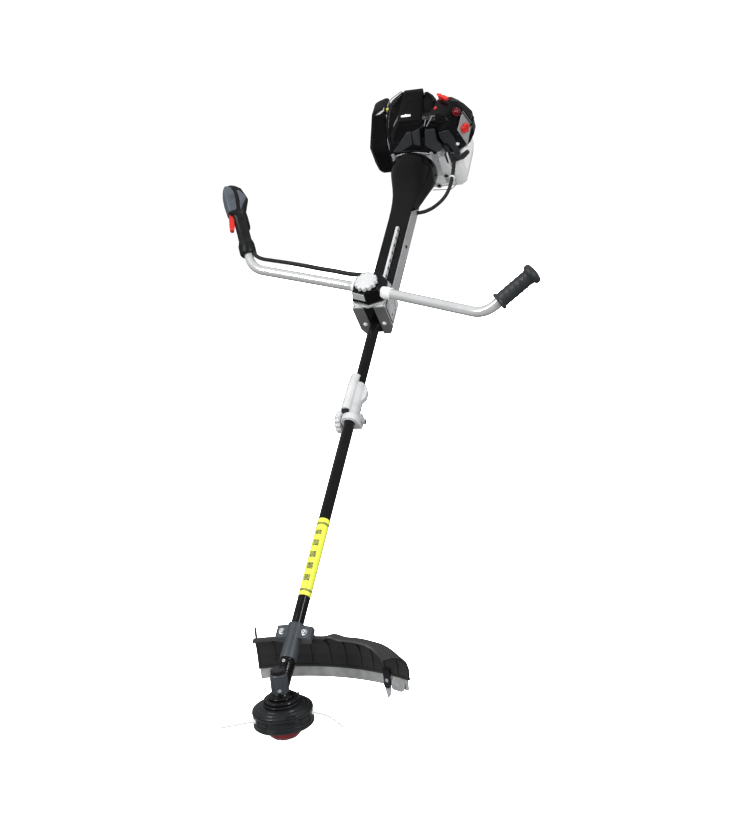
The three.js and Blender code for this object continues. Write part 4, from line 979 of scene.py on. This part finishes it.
def left_grip():
    start, stop = GRIP_START, GRIP_START + GRIP_LENGTH
    profile = [[12.3, start], [21, start], [22, start + 2], [21, start + 5], [17, start + 8]]
    steps = 56
    profile += [[17.2, start + 10 + (GRIP_LENGTH - 30) * i / steps] for i in range(steps + 1)]
    profile += [[19, stop - 15], [24, stop - 12], [25, stop - 8], [25, stop - 4], [22, stop + 1],
                [8, stop + 4], [0, stop + 4]]

    def ribbed(angle, z):
        if not start + 9 < z < stop - 18:
            return 1
        return 1 + 0.055 * max(0, math.cos(5 * angle + (z - start) * 0.42)) ** 3
    piece("left_grip_rubber", turned(profile, 90, 0, ribbed), grip_frame(-1), GRIP_RUBBER, ["left_grip"],
          body="bar", sharp=60)


def throttle_handle():
    place = grip_frame(1)
    body = lofted(section, (43, 17, -17, 17, 2), (44, 19, -19, 19, 2), (49, 22, -22, 22, 2),
                  (76, 22, -22, 21, 2), (80, 20.6, -21, 20, 2), (90, 17, -18, 17, 2.2),
                  (130, 16.4, -18, 17, 2.4), (158, 16.6, -19, 17, 2.5), (167, 17.4, -20, 19, 2.6),
                  (173, 20.4, -21, 25, 3), (180, 21.8, -23, 27.6, 3.2), (215, 24, -35.6, 29, 3.4),
                  (232, 23.4, -31, 28.6, 3.2), (250, 22, -25.4, 26.6, 2.9), (262, 16, -14, 21.5, 2.5),
                  (267.6, 10, -6, 15, 2.2))
    made = piece("throttle_handle_shell", body, place, MATT_BLACK, ["throttle_housing"], body="bar", sharp=60)
    carved(made, box((-7.6, 8, 106), (7.6, 50, 177)), box((-5.5, -40, 112), (5.5, -12.2, 192)),
           box((-40, 2, 206), (-22, 16, 236)))
    collar_rings = [hollow(21.8, 22.6, z, z + 1.6, 64, 0.4) for z in (54, 60, 66, 72)]
    piece("throttle_collar_rings", merged(*collar_rings), place, MATT_BLACK, body="bar")
    levels = ((177.6, 21.4, 4, 27.4), (183, 23, -1, 28.8), (215, 25.4, -4, 30.6), (238, 24.8, -3, 30),
              (252, 22.6, 2, 27.6), (262, 17, 8, 22.6))
    panel = skinned([section(*level, 4, 48) for level in levels])
    piece("throttle_front_panel", panel, place, PANEL_GREY, body="bar", bevel=1, sharp=50)
    levels = ((178, 21.6, -8, -5), (190, 23.4, -15, -5), (204, 24.4, -25, -5), (214, 24.7, -31, -4),
              (226, 24.3, -27, -4), (240, 23.2, -16, -6))
    facet = skinned([section(*level, 4, 40) for level in levels])
    panels = piece("throttle_side_facet", facet, place, PANEL_GREY, body="bar", bevel=0.8, sharp=50)
    carved(panels, box((-40, 1, 205), (-18, 17, 237)))


def throttle_controls():
    place = grip_frame(1)
    trigger = soft_prism([(176, 14), (177, 25), (166, 28), (146, 31), (130, 33), (124, 31), (123, 23),
                          (134, 19), (150, 17), (162, 14.6)], 2.4, -6.8, 6.8, "X")
    piece("throttle_trigger_lever", trigger, place, RED, ["throttle_trigger"], body="trigger", bevel=0.9,
          steps=3)
    lever = soft_prism([(188, -15), (188, -21), (160, -23.4), (130, -23.4), (123, -21.6), (126, -19),
                        (160, -18.4), (176, -15)], 1.6, -4.9, 4.9, "X")
    piece("lockout_paddle", lever, place, MATT_BLACK, ["lockout_lever"], body="lockout", bevel=0.7)
    slider = merged(soft_prism([(212, 4), (212, 14), (230, 14), (230, 4)], 1, -25.6, -19.5, "X"),
                    *[box((-26.6, 4.6, z), (-25.4, 13.4, z + 1.4)) for z in (214, 217.4, 220.8, 224.2, 227)])
    piece("stop_switch_slider", slider, place, PANEL_GREY, ["stop_switch"], body="switch", bevel=0.3)
    screws("throttle_screws", [(-16.6, -5, 150), (-17.6, 0, 84)], 2.6, 1.6, place, about("Y", -90),
           DARK_STEEL, body="bar")


# ---------- engine ----------
CRANK_CENTRE = 68
COVER_FOOT = 58
COVER_SLOPE = 15 / 46
PLATE_LIFT = 1.5
INTAKE = {"up": 92, "along": CRANK_CENTRE}
CORNER_FACE = basis((-0.6, 0, 0.8), (0, 1, 0), (-0.8, 0, -0.6))
FILTER_KNOB = (-160, 95, 46)
PRIMER = (-150, 145, 53.5)
PRIMER_AIM = Vector((-0.57, 0.7, -0.43)).normalized()
PRIMER_TURN = PRIMER_AIM.to_track_quat("Z", "Y").to_matrix().to_4x4()
CHOKE = {"x": -100, "along": 102, "turn": 138}
FILLER = {"x": -108, "y": -46}
ENGINE_LOOM = ((-117, 8, 16.2), (-117, 8, 2), (-118.5, 6, -20), (-118, 0, -50), (-111, -13, -82),
               (-95, -25, -106), (-72, -30, -130), (-54, -25, -150), (-42, -19, -161), (-35, -18, -163),
               (-31, -18, -163))


def piston_room():
    return moved(turned_by(disc(20.6, 20, 100, 32, 0), TO_Y), z=CRANK_CENTRE)


def crankcase():
    block = skinned([[(x, y, z) for x, y in cut_corners(-45, 45, -46, 46, corner)] for z, corner in
                     ((2, 16), (10, 12), (100, 12), (106, 18))])
    plate = soft_prism([(-20, 48), (-104, 48), (-108, 20), (-106, -70), (-84, -88), (-30, -84), (-20, -50)],
                       6, 4, 9)
    ribs = [prism([(x, -78), (x + 3, -78), (x + 3, 40), (x, 40)], 8, 16) for x in (-104, -74, -48)]
    ribs += [prism([(-104, y), (-30, y), (-30, y + 3), (-104, y + 3)], 8, 16) for y in (-74, -34, 4)]
    casting = piece("crankcase_casting", merged(block, plate, *ribs), ENGINE, BRACKET_ALLOY, ["crankcase"],
                    bevel=1, steps=3)
    carved(casting, piston_room())
    spots = ((-53, -70), (-83, -36))
    # Thin dark discs inside the bosses stand for the shade in their holes: painted shade.
    dark = [moved(disc(5.5, 2.4, 3.2, 32, 0.2), x, y) for x, y in spots]
    piece("bracket_hole_painted_shade", merged(*dark), ENGINE, DARK_STEEL)
    bosses = [moved(hollow(5.6, 9.5, 2.6, 5, 40, 0.6), x, y) for x, y in spots]
    piece("bracket_bosses", merged(*bosses), ENGINE, CAST_ALLOY)
    lip = [(-30, -84, 3.4), (-84, -88, 3.4), (-106, -70, 3.4), (-108, 20, 3.4)]
    piece("bracket_lip", swept(filleted(lip, 8, 4), 1.6, 10), ENGINE, CAST_ALLOY)


def cylinder():
    fins = []
    for i in range(12):
        y = 60 + i * 4.6
        fins.append(soft_prism([(-31, -31), (31, -31), (31, 31), (-31, 31)], 9, y, y + 1.8, "Y"))
    barrel = turned_by(disc(23, 46.3, 115, 48), TO_Y)
    place = ENGINE @ shift(0, 0, CRANK_CENTRE)
    piece("finned_cylinder", merged(barrel, *fins), place, CAST_ALLOY, ["cylinder"])
    plug = turned([[0, 103], [4.8, 103], [4.8, 116.6], [9, 116.6], [9.4, 128], [7, 131], [8.2, 135],
                   [8.2, 149], [6, 152], [0, 152]], 40, 0.8)
    piece("spark_plug_boot", turned_by(plug, TO_Y), place, RUBBER, ["spark_plug"])


def leaning(shape):
    """Lays a shape against the slanted front of the engine cover."""
    return [(x, y, z + (y - COVER_FOOT) * COVER_SLOPE + PLATE_LIFT) for x, y, z in shape[0]], shape[1]


def engine_cover():
    """A wedge-topped tower with a recess carved into it and a step inside; the shoulder beside it and the
    skirt down to two feet are made in engine_cover_sides.
    """
    tower = lofted(level_ring, (58, -54, 60, 6, 112, 12), (74, -54, 60, 7.5, 116, 14),
                   (104, -53, 54, 21, 119, 13), (128, -52, 37, 30, 120, 11), (143, -51.5, 24, 34.6, 120.5, 8),
                   (146.5, -51.5, 21, 36, 120.5, 7), (168, -52, 12, 76.5, 120.5, 5),
                   (186.8, -53, 3, 111, 120.5, 2.5))
    shell = piece("engine_cover_tower", tower, ENGINE, GLOSS_BLACK, ["engine_cover"], bevel=1.8, steps=4)
    levels = ((60, -26, -2, -10, 11), (72, -32, 4, -10, 14), (112, -42, 14, -10, 31), (138, -44, 16, -10, 39))
    recess = skinned([[(x0, y, z0), (x1, y, z0), (x1, y, z1), (x0, y, z1)] for y, x0, x1, z0, z1 in levels])
    carved(shell, recess, piston_room())
    step = lofted(level_ring, (64, -20, -6, 8, 30, 3), (96, -28, -2, 20, 40, 3), (104, -26, -4, 27, 42, 3))
    piece("engine_cover_inner_step", step, ENGINE, MATT_BLACK, bevel=1)


def engine_cover_sides():
    shoulder = lofted(level_ring, (56, -86, -57, 6, 112, 8), (72, -86, -57, 8, 116, 9),
                      (104, -85.5, -56, 22, 119, 9), (134, -84.5, -55.5, 40, 119.5, 8),
                      (150, -83, -54, 68, 119.5, 6), (163, -76, -53.4, 100, 119.5, 3),
                      (175, -64, -53.4, 112, 119.5, 2))
    piece("engine_cover_shoulder", shoulder, ENGINE, GLOSS_BLACK, bevel=1.8, steps=4)
    cheek = lofted(level_ring, (56, 14, 61, 10, 116, 8), (100, 8, 64, 27, 119, 9), (128, 0, 64, 54, 120, 8),
                   (148, -2, 58, 80, 120.5, 6), (162, -4, 46, 94, 120.5, 5), (171, -6, 32, 102, 120.5, 4),
                   (183, -8, 12, 112, 120.5, 2))
    piece("engine_cover_cheek", cheek, ENGINE, GLOSS_BLACK, bevel=1.8, steps=4)
    web = lofted(level_ring, (56, -60, -50, 12, 108, 3), (104, -60, -50, 28, 112, 3),
                 (150, -58, -50, 72, 116, 3), (166, -57, -50, 98, 117, 3))
    piece("engine_cover_groove", web, ENGINE, MATT_BLACK)
    near_foot = lofted(level_ring, (52, 32, 60, 2.4, 24, 4), (66, 30, 60, 3, 30, 5), (92, 24, 56, 13, 40, 6))
    far_foot = lofted(level_ring, (45, -76, -46, 2.6, 24, 4), (58, -78, -42, 3, 28, 5),
                      (96, -66, -40, 15, 40, 6))
    hem = lofted(level_ring, (52, -50, 36, 3.2, 16, 3), (64, -48, 34, 4.6, 22, 4))
    piece("engine_cover_skirt", merged(near_foot, far_foot, hem), ENGINE, GLOSS_BLACK, bevel=1.8, steps=3)


def plain_badge():
    slope = math.degrees(math.atan2(75, 40.3))
    badge = rounded_outline([(-13, 0), (13, 0), (15, 3), (13, 6.4), (4, 6.4), (0, 8.6), (-4, 6.4), (-13, 6.4),
                             (-15, 3)], 1)
    tilt = ENGINE @ shift(-6, 152, 46.1) @ about("X", slope)
    piece("plain_badge", prism(badge, -1.4, 0.4), tilt, WHITE, bevel=0.2)


def heat_shield():
    edge = ((58, 50, 12), (63, 72, 24), (66, 98, 50), (67, 120, 82), (65, 142, 108), (52, 160, 121.5),
            (34, 172, 121.5), (12, 185, 121))
    piece("heat_shield_edge", swept(spline(edge, 8), 1.6, 12), ENGINE, STEEL)
    inner = [(x - 5, y - 4, z - 3) for x, y, z in edge[1:6]]
    piece("heat_shield_inner_edge", swept(spline(inner, 8), 1.2, 12), ENGINE, STEEL)
    piece("heat_shield_tab", box((56, 134, 96), (65, 148, 104)), ENGINE, YELLOW, bevel=1.4)


def engine_cover_trim():
    # Two bright steel strokes along the groove stand for the highlight that shows there: painted highlight.
    slats = [swept([(-64, 145, 33.5), (-56, 128, 27.5)], 1.3, 10),
             swept([(-83, 150, 37), (-63, 127, 28)], 1.5, 10)]
    piece("cover_groove_painted_highlight_strokes", merged(*slats), ENGINE, STEEL)
    left = [(52, 67), (30, 85), (-1, 116), (-15, 117), (-13, 84), (24, 67)]
    middle = [(-17, 115), (-42, 124), (-35, 78), (-17, 83)]
    right = [(-56, 117), (-85, 117), (-85, 84), (-93, 73), (-97, 60), (-79, 55), (-50, 76)]
    plates = [soft_prism(outline, 2.5, -1, 8) for outline in (left, middle, right)]
    piece("cover_slate_facets", leaning(merged(*plates)), ENGINE, SLATE_BLACK, bevel=1.6, steps=3)
    joint_line = [(-68, 47, 1.8), (-56, 52, 0.8), (-20, 60.5, 0.6), (16, 61, 0.6), (40, 56, 0.8), (56, 50, 2)]
    piece("cover_joint_strip", swept(spline(joint_line, 6), 1.4, 10), ENGINE, BRIGHT_ALLOY)
    spots = [(-84, 50, 2), (-62, 53, 0), (50, 60, 0), (50, 51, 0)]
    screws("cover_screws", spots, 4, 3.4, ENGINE, about("X", 180))


def muffler():
    box_body = lofted(level_ring, (-20, 72, 114, 44, 132, 8), (-10, 69, 118, 38, 138, 8),
                      (62, 69, 118, 38, 138, 8), (102, 70, 106, 86, 138, 8))
    piece("muffler_box", box_body, ENGINE, STEEL, ["muffler"], bevel=4, steps=3)
    shell = lofted(level_ring, (-26, 67, 117, 31, 139, 8), (-18, 65, 123, 27.5, 146, 9),
                   (10, 64, 126, 26, 148, 10), (66, 64, 126, 26, 150, 10), (136, 64, 111, 87, 150, 8),
                   (141, 64, 106, 93, 148, 7), (149, 64, 82, 104, 147, 5))
    cover = piece("muffler_guard", shell, ENGINE, GLOSS_BLACK, ["muffler_cover"],
                  bevel=1.8, steps=3)
    carved(cover, lofted(level_ring, (-22, 60, 113, 35, 136, 8), (10, 60, 122, 30, 143, 10),
                         (66, 60, 122, 30, 145, 10), (134, 60, 106, 91, 145, 8)))
    slots = []
    for row in range(9):
        for column in range(5):
            x, y = 74 + column * 8.6, -18 + row * 8.2
            slots.append(box((x, y, 20), (x + 5, y + 5, 36)))
    carved(cover, merged(*slots))


def muffler_trim():
    rise = math.degrees(math.atan2(61, 70))
    louvres = []
    for row in range(15):
        share = (row + 0.5) / 15
        at = Matrix.Translation((0, 69 + 66 * share, 28.6 + 58 * share)) @ about("X", rise)
        louvres.append(turned_by(box((70, -1.5, -1.6), (118 - 8 * share, 1.5, 0.4)), at @ about("X", 24)))
    piece("muffler_louvres", merged(*louvres), ENGINE, GLOSS_BLACK, bevel=0.4)
    rim = [(64, y, z) for y, z in ((-26, 34), (10, 26.6), (64, 26.6), (136, 88))]
    piece("muffler_rim", swept(filleted(rim, 16, 5), 2.2, 12), ENGINE, STEEL)
    strap = soft_prism([(18, -34), (27, -34), (31, 56), (22, 56)], 3, 58, 64, "X")
    piece("muffler_strap", strap, ENGINE, BRIGHT_ALLOY, bevel=0.8)
    screws("muffler_screws", [(61, 24, 21), (61, -12, 18)], 3.6, 3, ENGINE, about("X", 180))


def filter_plan(y, front, back, side, corner_x, corner_z):
    return [(x, y, z) for x, z in ((-92.4, front), (corner_x, front), (side, corner_z), (side, back - 22),
                                   (side + 22, back), (-92.4, back))]


def carburettor():
    inlet = Matrix.Translation((0, INTAKE["up"], INTAKE["along"])) @ TO_X
    body = merged(box((-87, 73, INTAKE["along"] - 19), (-60, 111, INTAKE["along"] + 19)),
                  turned_by(disc(13, -60, -32, 40), inlet))
    piece("carburettor_body", body, ENGINE, CAST_ALLOY, ["carburettor"], bevel=1.4)


def filter_cover():
    cover = lofted(filter_plan, (20, 35, 117, -150, -126, 60), (28, 29, 120, -161, -132, 64),
                   (50, 22.4, 124, -176, -141, 70), (104, 22.4, 124, -178, -142, 70),
                   (134, 24.5, 121, -163, -133, 76), (149, 29, 117, -149, -122, 82),
                   (157, 38, 110, -134, -106, 86))
    made = piece("filter_cover_shell", cover, ENGINE, GLOSS_BLACK, ["filter_cover"], bevel=2, steps=4)
    carved(made, turned_by(disc(10.8, -12, 30, 40, 0), Matrix.Translation(PRIMER) @ PRIMER_TURN))
    waist = [filter_plan(y, front, 118, side, corner_x, 66) for y, front, side, corner_x in
             ((84, 21.8, -180.0, -142.4), (87, 21.2, -181.0, -142.8), (90, 21.8, -180.0, -142.4))]
    piece("filter_waist_ridge", skinned(waist), ENGINE, GLOSS_BLACK, bevel=0.6)


def filter_slate():
    facets = [[(-93, 106), (-123, 111), (-133, 82), (-138, 24), (-122, 20), (-112, 64), (-99, 69), (-93, 86)],
              [(-95, 60), (-106, 56), (-114, 30), (-96, 32)]]
    slate = [soft_prism(facet, 2.5, 20.6, 23) for facet in facets]
    piece("filter_slate_facets", merged(*slate), ENGINE, SLATE_BLACK, bevel=1.4, steps=3)
    lip = [(-91, 33), (-109, 26), (-137, 20), (-160, 36), (-165, 26), (-145, 8), (-113, -1), (-93, -3)]
    piece("filter_slate_lip", soft_prism(lip, 4, 16.5, 24.5), ENGINE, SLATE_BLACK, bevel=2.4, steps=3)


def filter_corner():
    """The slanted panel at the filter's outer corner, with its hand knob."""
    corner = ENGINE @ shift(*FILTER_KNOB) @ CORNER_FACE
    piece("filter_side_panel", soft_prism([(-6, -60), (22, -8), (6, 46), (-24, 8)], 4, 0.2, 2.2), corner,
          SATIN_ALLOY, bevel=1)
    for name, outer in (("filter_panel_edge", 0), ("filter_panel_second_edge", 5)):
        line = [(-8 - outer, -62, 1), (24 + outer, -8, 1), (7 + outer, 48, 1)]
        piece(name, swept(filleted(line, 8, 4), 0.9, 8), corner, STEEL)
    knob = merged(scalloped(15, 5.4, 5, 2.4, 12, 2), disc(8, 0.6, 3, 32))
    piece("filter_star_knob", knob, corner, RED, ["filter_knob"], body="filter_wheel")


def primer():
    primer_at = ENGINE @ shift(*PRIMER) @ PRIMER_TURN
    dome = turned([[0, -7], [9.2, -7], [9.2, 1], [8.2, 5], [5.6, 7.6], [3, 8.6], [0, 8.8]], 48, 0.8)
    piece("primer_dome", dome, primer_at, DARK_RED, ["primer_bulb"], body="primer")
    piece("primer_bezel", hollow(10, 12, -5, 1.2, 48, 0.8), primer_at, DARK_RED)


def choke():
    arm = [(-12, -3), (8, -4.5), (36, -5), (36, 5), (8, 4.5), (-12, 3)]
    ridge = [(14, -5), (36, -5), (36, 5), (14, 5)]
    lever = merged(disc(6, 157, 172, 32), soft_prism(arm, 2, 168, 171.4), soft_prism(ridge, 2, 171, 175))
    piece("choke_paddle", turned_by(lever, TO_Y @ about("Z", CHOKE["turn"])),
          ENGINE @ shift(CHOKE["x"], 0, CHOKE["along"]), RED, ["choke_lever"], body="choke", bevel=0.8)
    piece("filter_snap_tab", box((-97, 150, 62), (-86, 157, 72)), ENGINE, RED, bevel=1)


def filter_neck():
    neck = lofted(side_ring, (-44, 58, 150, 42, 114, 8), (-70, 50, 150, 34, 114, 10),
                  (-93.4, 30, 152, 28, 117, 12))
    piece("filter_neck", neck, ENGINE, GLOSS_BLACK, bevel=2, steps=3)
    screws("filter_screw", [(-138, 60, 21)], 3.6, 3, ENGINE, about("X", 180), WHITE)


def starter():
    cup = turned([[40, 124], [58, 123.5], [61.4, 125], [62, 128], [62, 156], [59, 163], [50, 171],
                  [32, 175.4], [14, 176], [0, 176], [0, 172], [30, 171], [50, 164], [58, 154], [58, 126],
                  [40, 126]], 96, 1.2)
    vents = [arc_block(22, 46, 168, 180, angle, angle + 9, 3) for angle in range(0, 360, 24)]
    made = piece("starter_cup", cup, ENGINE, MATT_BLACK, ["starter_housing"])
    carved(made, merged(*vents))
    tower = turned_by(soft_prism([(8, -164), (32, -164), (32, -140), (8, -140)], 6, 40, 74), about("X", -90))
    piece("starter_rope_guide", tower, ENGINE, MATT_BLACK, bevel=1.4)
    bar = soft_prism([(-2, 76), (-2, 86), (3, 90), (37, 90), (42, 86), (42, 76), (30, 74.6), (10, 74.6)], 3,
                     145, 159)
    piece("starter_grip", bar, ENGINE, MATT_BLACK, ["starter_handle"], body="pull_start", bevel=2, steps=3)
    rope = swept([(20, 30 + 46 * i / 40, 152) for i in range(41)], 1.6, 12)
    piece("starter_rope", rope, ENGINE, RUBBER, body=("machine", "pull_start", (20, 34, 152), (20, 74, 152)))


def fuel_tank():
    """A milky tank that wraps under the filter and rises behind it."""
    def block(outline, low, high):
        centre = Vector((sum(x for x, y in outline) / len(outline),
                         sum(y for x, y in outline) / len(outline)))
        soft = rounded_outline(outline, 9, 4)
        rings = []
        for z, slimmer in ((low, 4), (low + 1.2, 1.6), (low + 4, 0), (high - 4, 0), (high - 1.2, 1.6),
                           (high, 4)):
            ring = []
            for point in soft:
                inward = centre - Vector(point)
                spot = Vector(point) + inward.normalized() * slimmer
                ring.append((spot.x, spot.y, z))
            rings.append(ring)
        return skinned(rings)
    side = block([(-66, 16), (-66, -96), (-112, -96), (-130, -84), (-142, -44), (-142, 16)], 26, 150)
    foot = block(cut_corners(-90, -14, -96, -54, 8), 26, 118)
    tower = block(cut_corners(-158, -104, 2, 82, 12), 127, 149)
    neck = moved(hollow(12, 15, 148, 156, 48), FILLER["x"], FILLER["y"], 0)
    seam_outline = [(-65.6, 16.4), (-65.6, -96.4), (-112.2, -96.4), (-130.5, -84.2), (-142.6, -44),
                    (-142.6, 16.4)]
    seam = prism(rounded_outline(seam_outline, 9, 4), 86, 88)
    piece("fuel_tank_shell", merged(side, foot, tower, neck, seam), ENGINE, TANK_WHITE, ["fuel_tank"],
          sharp=40)
    cap = merged(scalloped(20, 2, 10, 156.6, 168, 2), disc(11.5, 146, 158, 40))
    piece("fuel_cap_shell", cap, ENGINE @ shift(FILLER["x"], FILLER["y"], 0), MATT_BLACK, ["fuel_cap"],
          body="tank_cap")


def loom():
    corrugated("engine_loom_sleeve", ENGINE_LOOM, ENGINE, "machine", "engine_loom")
    clip = hollow(5.6, 7.6, -4, 4, 40, 0.6)
    piece("loom_clip", clip, ENGINE @ shift(-118, 0, -50) @ about("X", 14), WHITE)
    corrugated("throttle_cable_sleeve", THROTTLE_CABLE, BAR, "bar", "throttle_cable")


def inner_parts():
    """Hidden CAD nodes keep their shapes and get their materials."""
    looks = {
        FOAM: ("filter_element",), MATT_BLACK: ("spool", "filter_base"), RUBBER: ("shaft_bush",),
        CAST_ALLOY: ("flywheel", "piston"),
        STEEL: ("drive_shaft", "pinion_gear", "output_shaft", "crankshaft"),
        DARK_STEEL: ("clutch_drum", "clutch_shoes"),
    }
    for material, names in looks.items():
        for name in names:
            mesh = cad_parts[name].data
            mesh.materials.clear()
            mesh.materials.append(material)


# ---------- studio ----------
FLOOR_HALF = 14
TOWARDS_EYE = (0.45, -0.88, 0.12)
LAMP_TARGET = Vector((0, 0.6, 0.7))
LAMPS = (("key", (-2.2, -2.4, 3.2), (0.45, 2.4), 95), ("side", (3.0, -0.8, 1.9), (0.3, 2.6), 50),
         ("rim", (0.6, 3.4, 3.0), (2.4, 2.4), 45), ("fill", (1.0, -3.4, 1.2), (3.0, 3.0), 85))
SEEN_IN_REFLECTIONS = ("key", "side")


def floor_material():
    """A floor that only shows a faint shadow near the object's foot."""
    material, nodes, links, shader, place = graph("pale_floor")
    tone = spread(nodes, links, noise(nodes, links, place, 2.2), 0, 1)
    links.new(tinted(nodes, links, tone, (0.90, 0.90, 0.90), (0.93, 0.93, 0.93)), shader.inputs["Base Color"])
    links.new(spread(nodes, links, noise(nodes, links, place, 9), 0.75, 0.9), shader.inputs["Roughness"])
    reach = nodes.new("ShaderNodeVectorMath")
    reach.operation = "LENGTH"
    links.new(place, reach.inputs[0])
    links.new(spread(nodes, links, reach.outputs["Value"], 0.5, 0, 0.03, 0.26), shader.inputs["Alpha"])
    return material


def backdrop():
    """Plain white behind the object. Its light is brighter above than below, and dim in reflections."""
    world = bpy.data.worlds.new("studio")
    world.use_nodes = True
    nodes, links = world.node_tree.nodes, world.node_tree.links
    light = nodes["Background"]
    around = nodes.new("ShaderNodeTexCoord").outputs["Generated"]
    axes = nodes.new("ShaderNodeSeparateXYZ")
    links.new(around, axes.inputs["Vector"])
    height = spread(nodes, links, axes.outputs["Z"], 0.35, 1, -0.2, 0.55)
    facing = nodes.new("ShaderNodeVectorMath")
    facing.operation = "DOT_PRODUCT"
    facing.inputs[1].default_value = TOWARDS_EYE
    links.new(around, facing.inputs[0])
    dimmed = spread(nodes, links, facing.outputs["Value"], 1, 0.12, 0.35, 0.85)
    links.new(combined(nodes, links, height, dimmed, "MULTIPLY"), light.inputs["Color"])
    rays = nodes.new("ShaderNodeLightPath")
    links.new(spread(nodes, links, rays.outputs["Is Glossy Ray"], 1.15, 0.34, 0, 1), light.inputs["Strength"])
    white = nodes.new("ShaderNodeBackground")
    white.inputs["Color"].default_value = (1, 1, 1, 1)
    white.inputs["Strength"].default_value = 1.1
    mix = nodes.new("ShaderNodeMixShader")
    links.new(rays.outputs["Is Camera Ray"], mix.inputs["Fac"])
    links.new(light.outputs["Background"], mix.inputs[1])
    links.new(white.outputs["Background"], mix.inputs[2])
    links.new(mix.outputs["Shader"], nodes["World Output"].inputs["Surface"])
    bpy.context.scene.world = world
    bpy.context.scene.view_settings.view_transform = "Standard"


def studio():
    mesh = bpy.data.meshes.new("floor")
    half = FLOOR_HALF
    mesh.from_pydata([(-half, -half, 0), (half, -half, 0), (half, half, 0), (-half, half, 0)], [],
                     [(0, 1, 2, 3)])
    mesh.materials.append(floor_material())
    floor = placed("floor", mesh)
    floor.is_shadow_catcher = True
    backdrop()
    for name, spot, (width, height), power in LAMPS:
        data = bpy.data.lights.new(name, "AREA")
        data.shape = "RECTANGLE"
        data.size = width
        data.size_y = height
        data.energy = power
        aim = (LAMP_TARGET - Vector(spot)).to_track_quat("-Z", "Y").to_matrix().to_4x4()
        lamp = placed(name, data, Matrix.Translation(spot) @ aim)
        lamp.visible_glossy = name in SEEN_IN_REFLECTIONS


for build in (cutting_head, bump_spring, trimmer_line, thrust_discs, gear_case, guard, guard_trim,
              line_cutter, guard_fin, guard_clamp, tubes, coupler, frame_rail, long_cover, harness_rail,
              clamp_base, clamp_top, handlebar, left_grip, throttle_handle, throttle_controls, crankcase,
              cylinder, engine_cover, engine_cover_sides, plain_badge, heat_shield, engine_cover_trim,
              muffler, muffler_trim, carburettor, filter_cover, filter_slate, filter_corner, primer, choke,
              filter_neck, starter, fuel_tank, loom, inner_parts, studio):
    build()
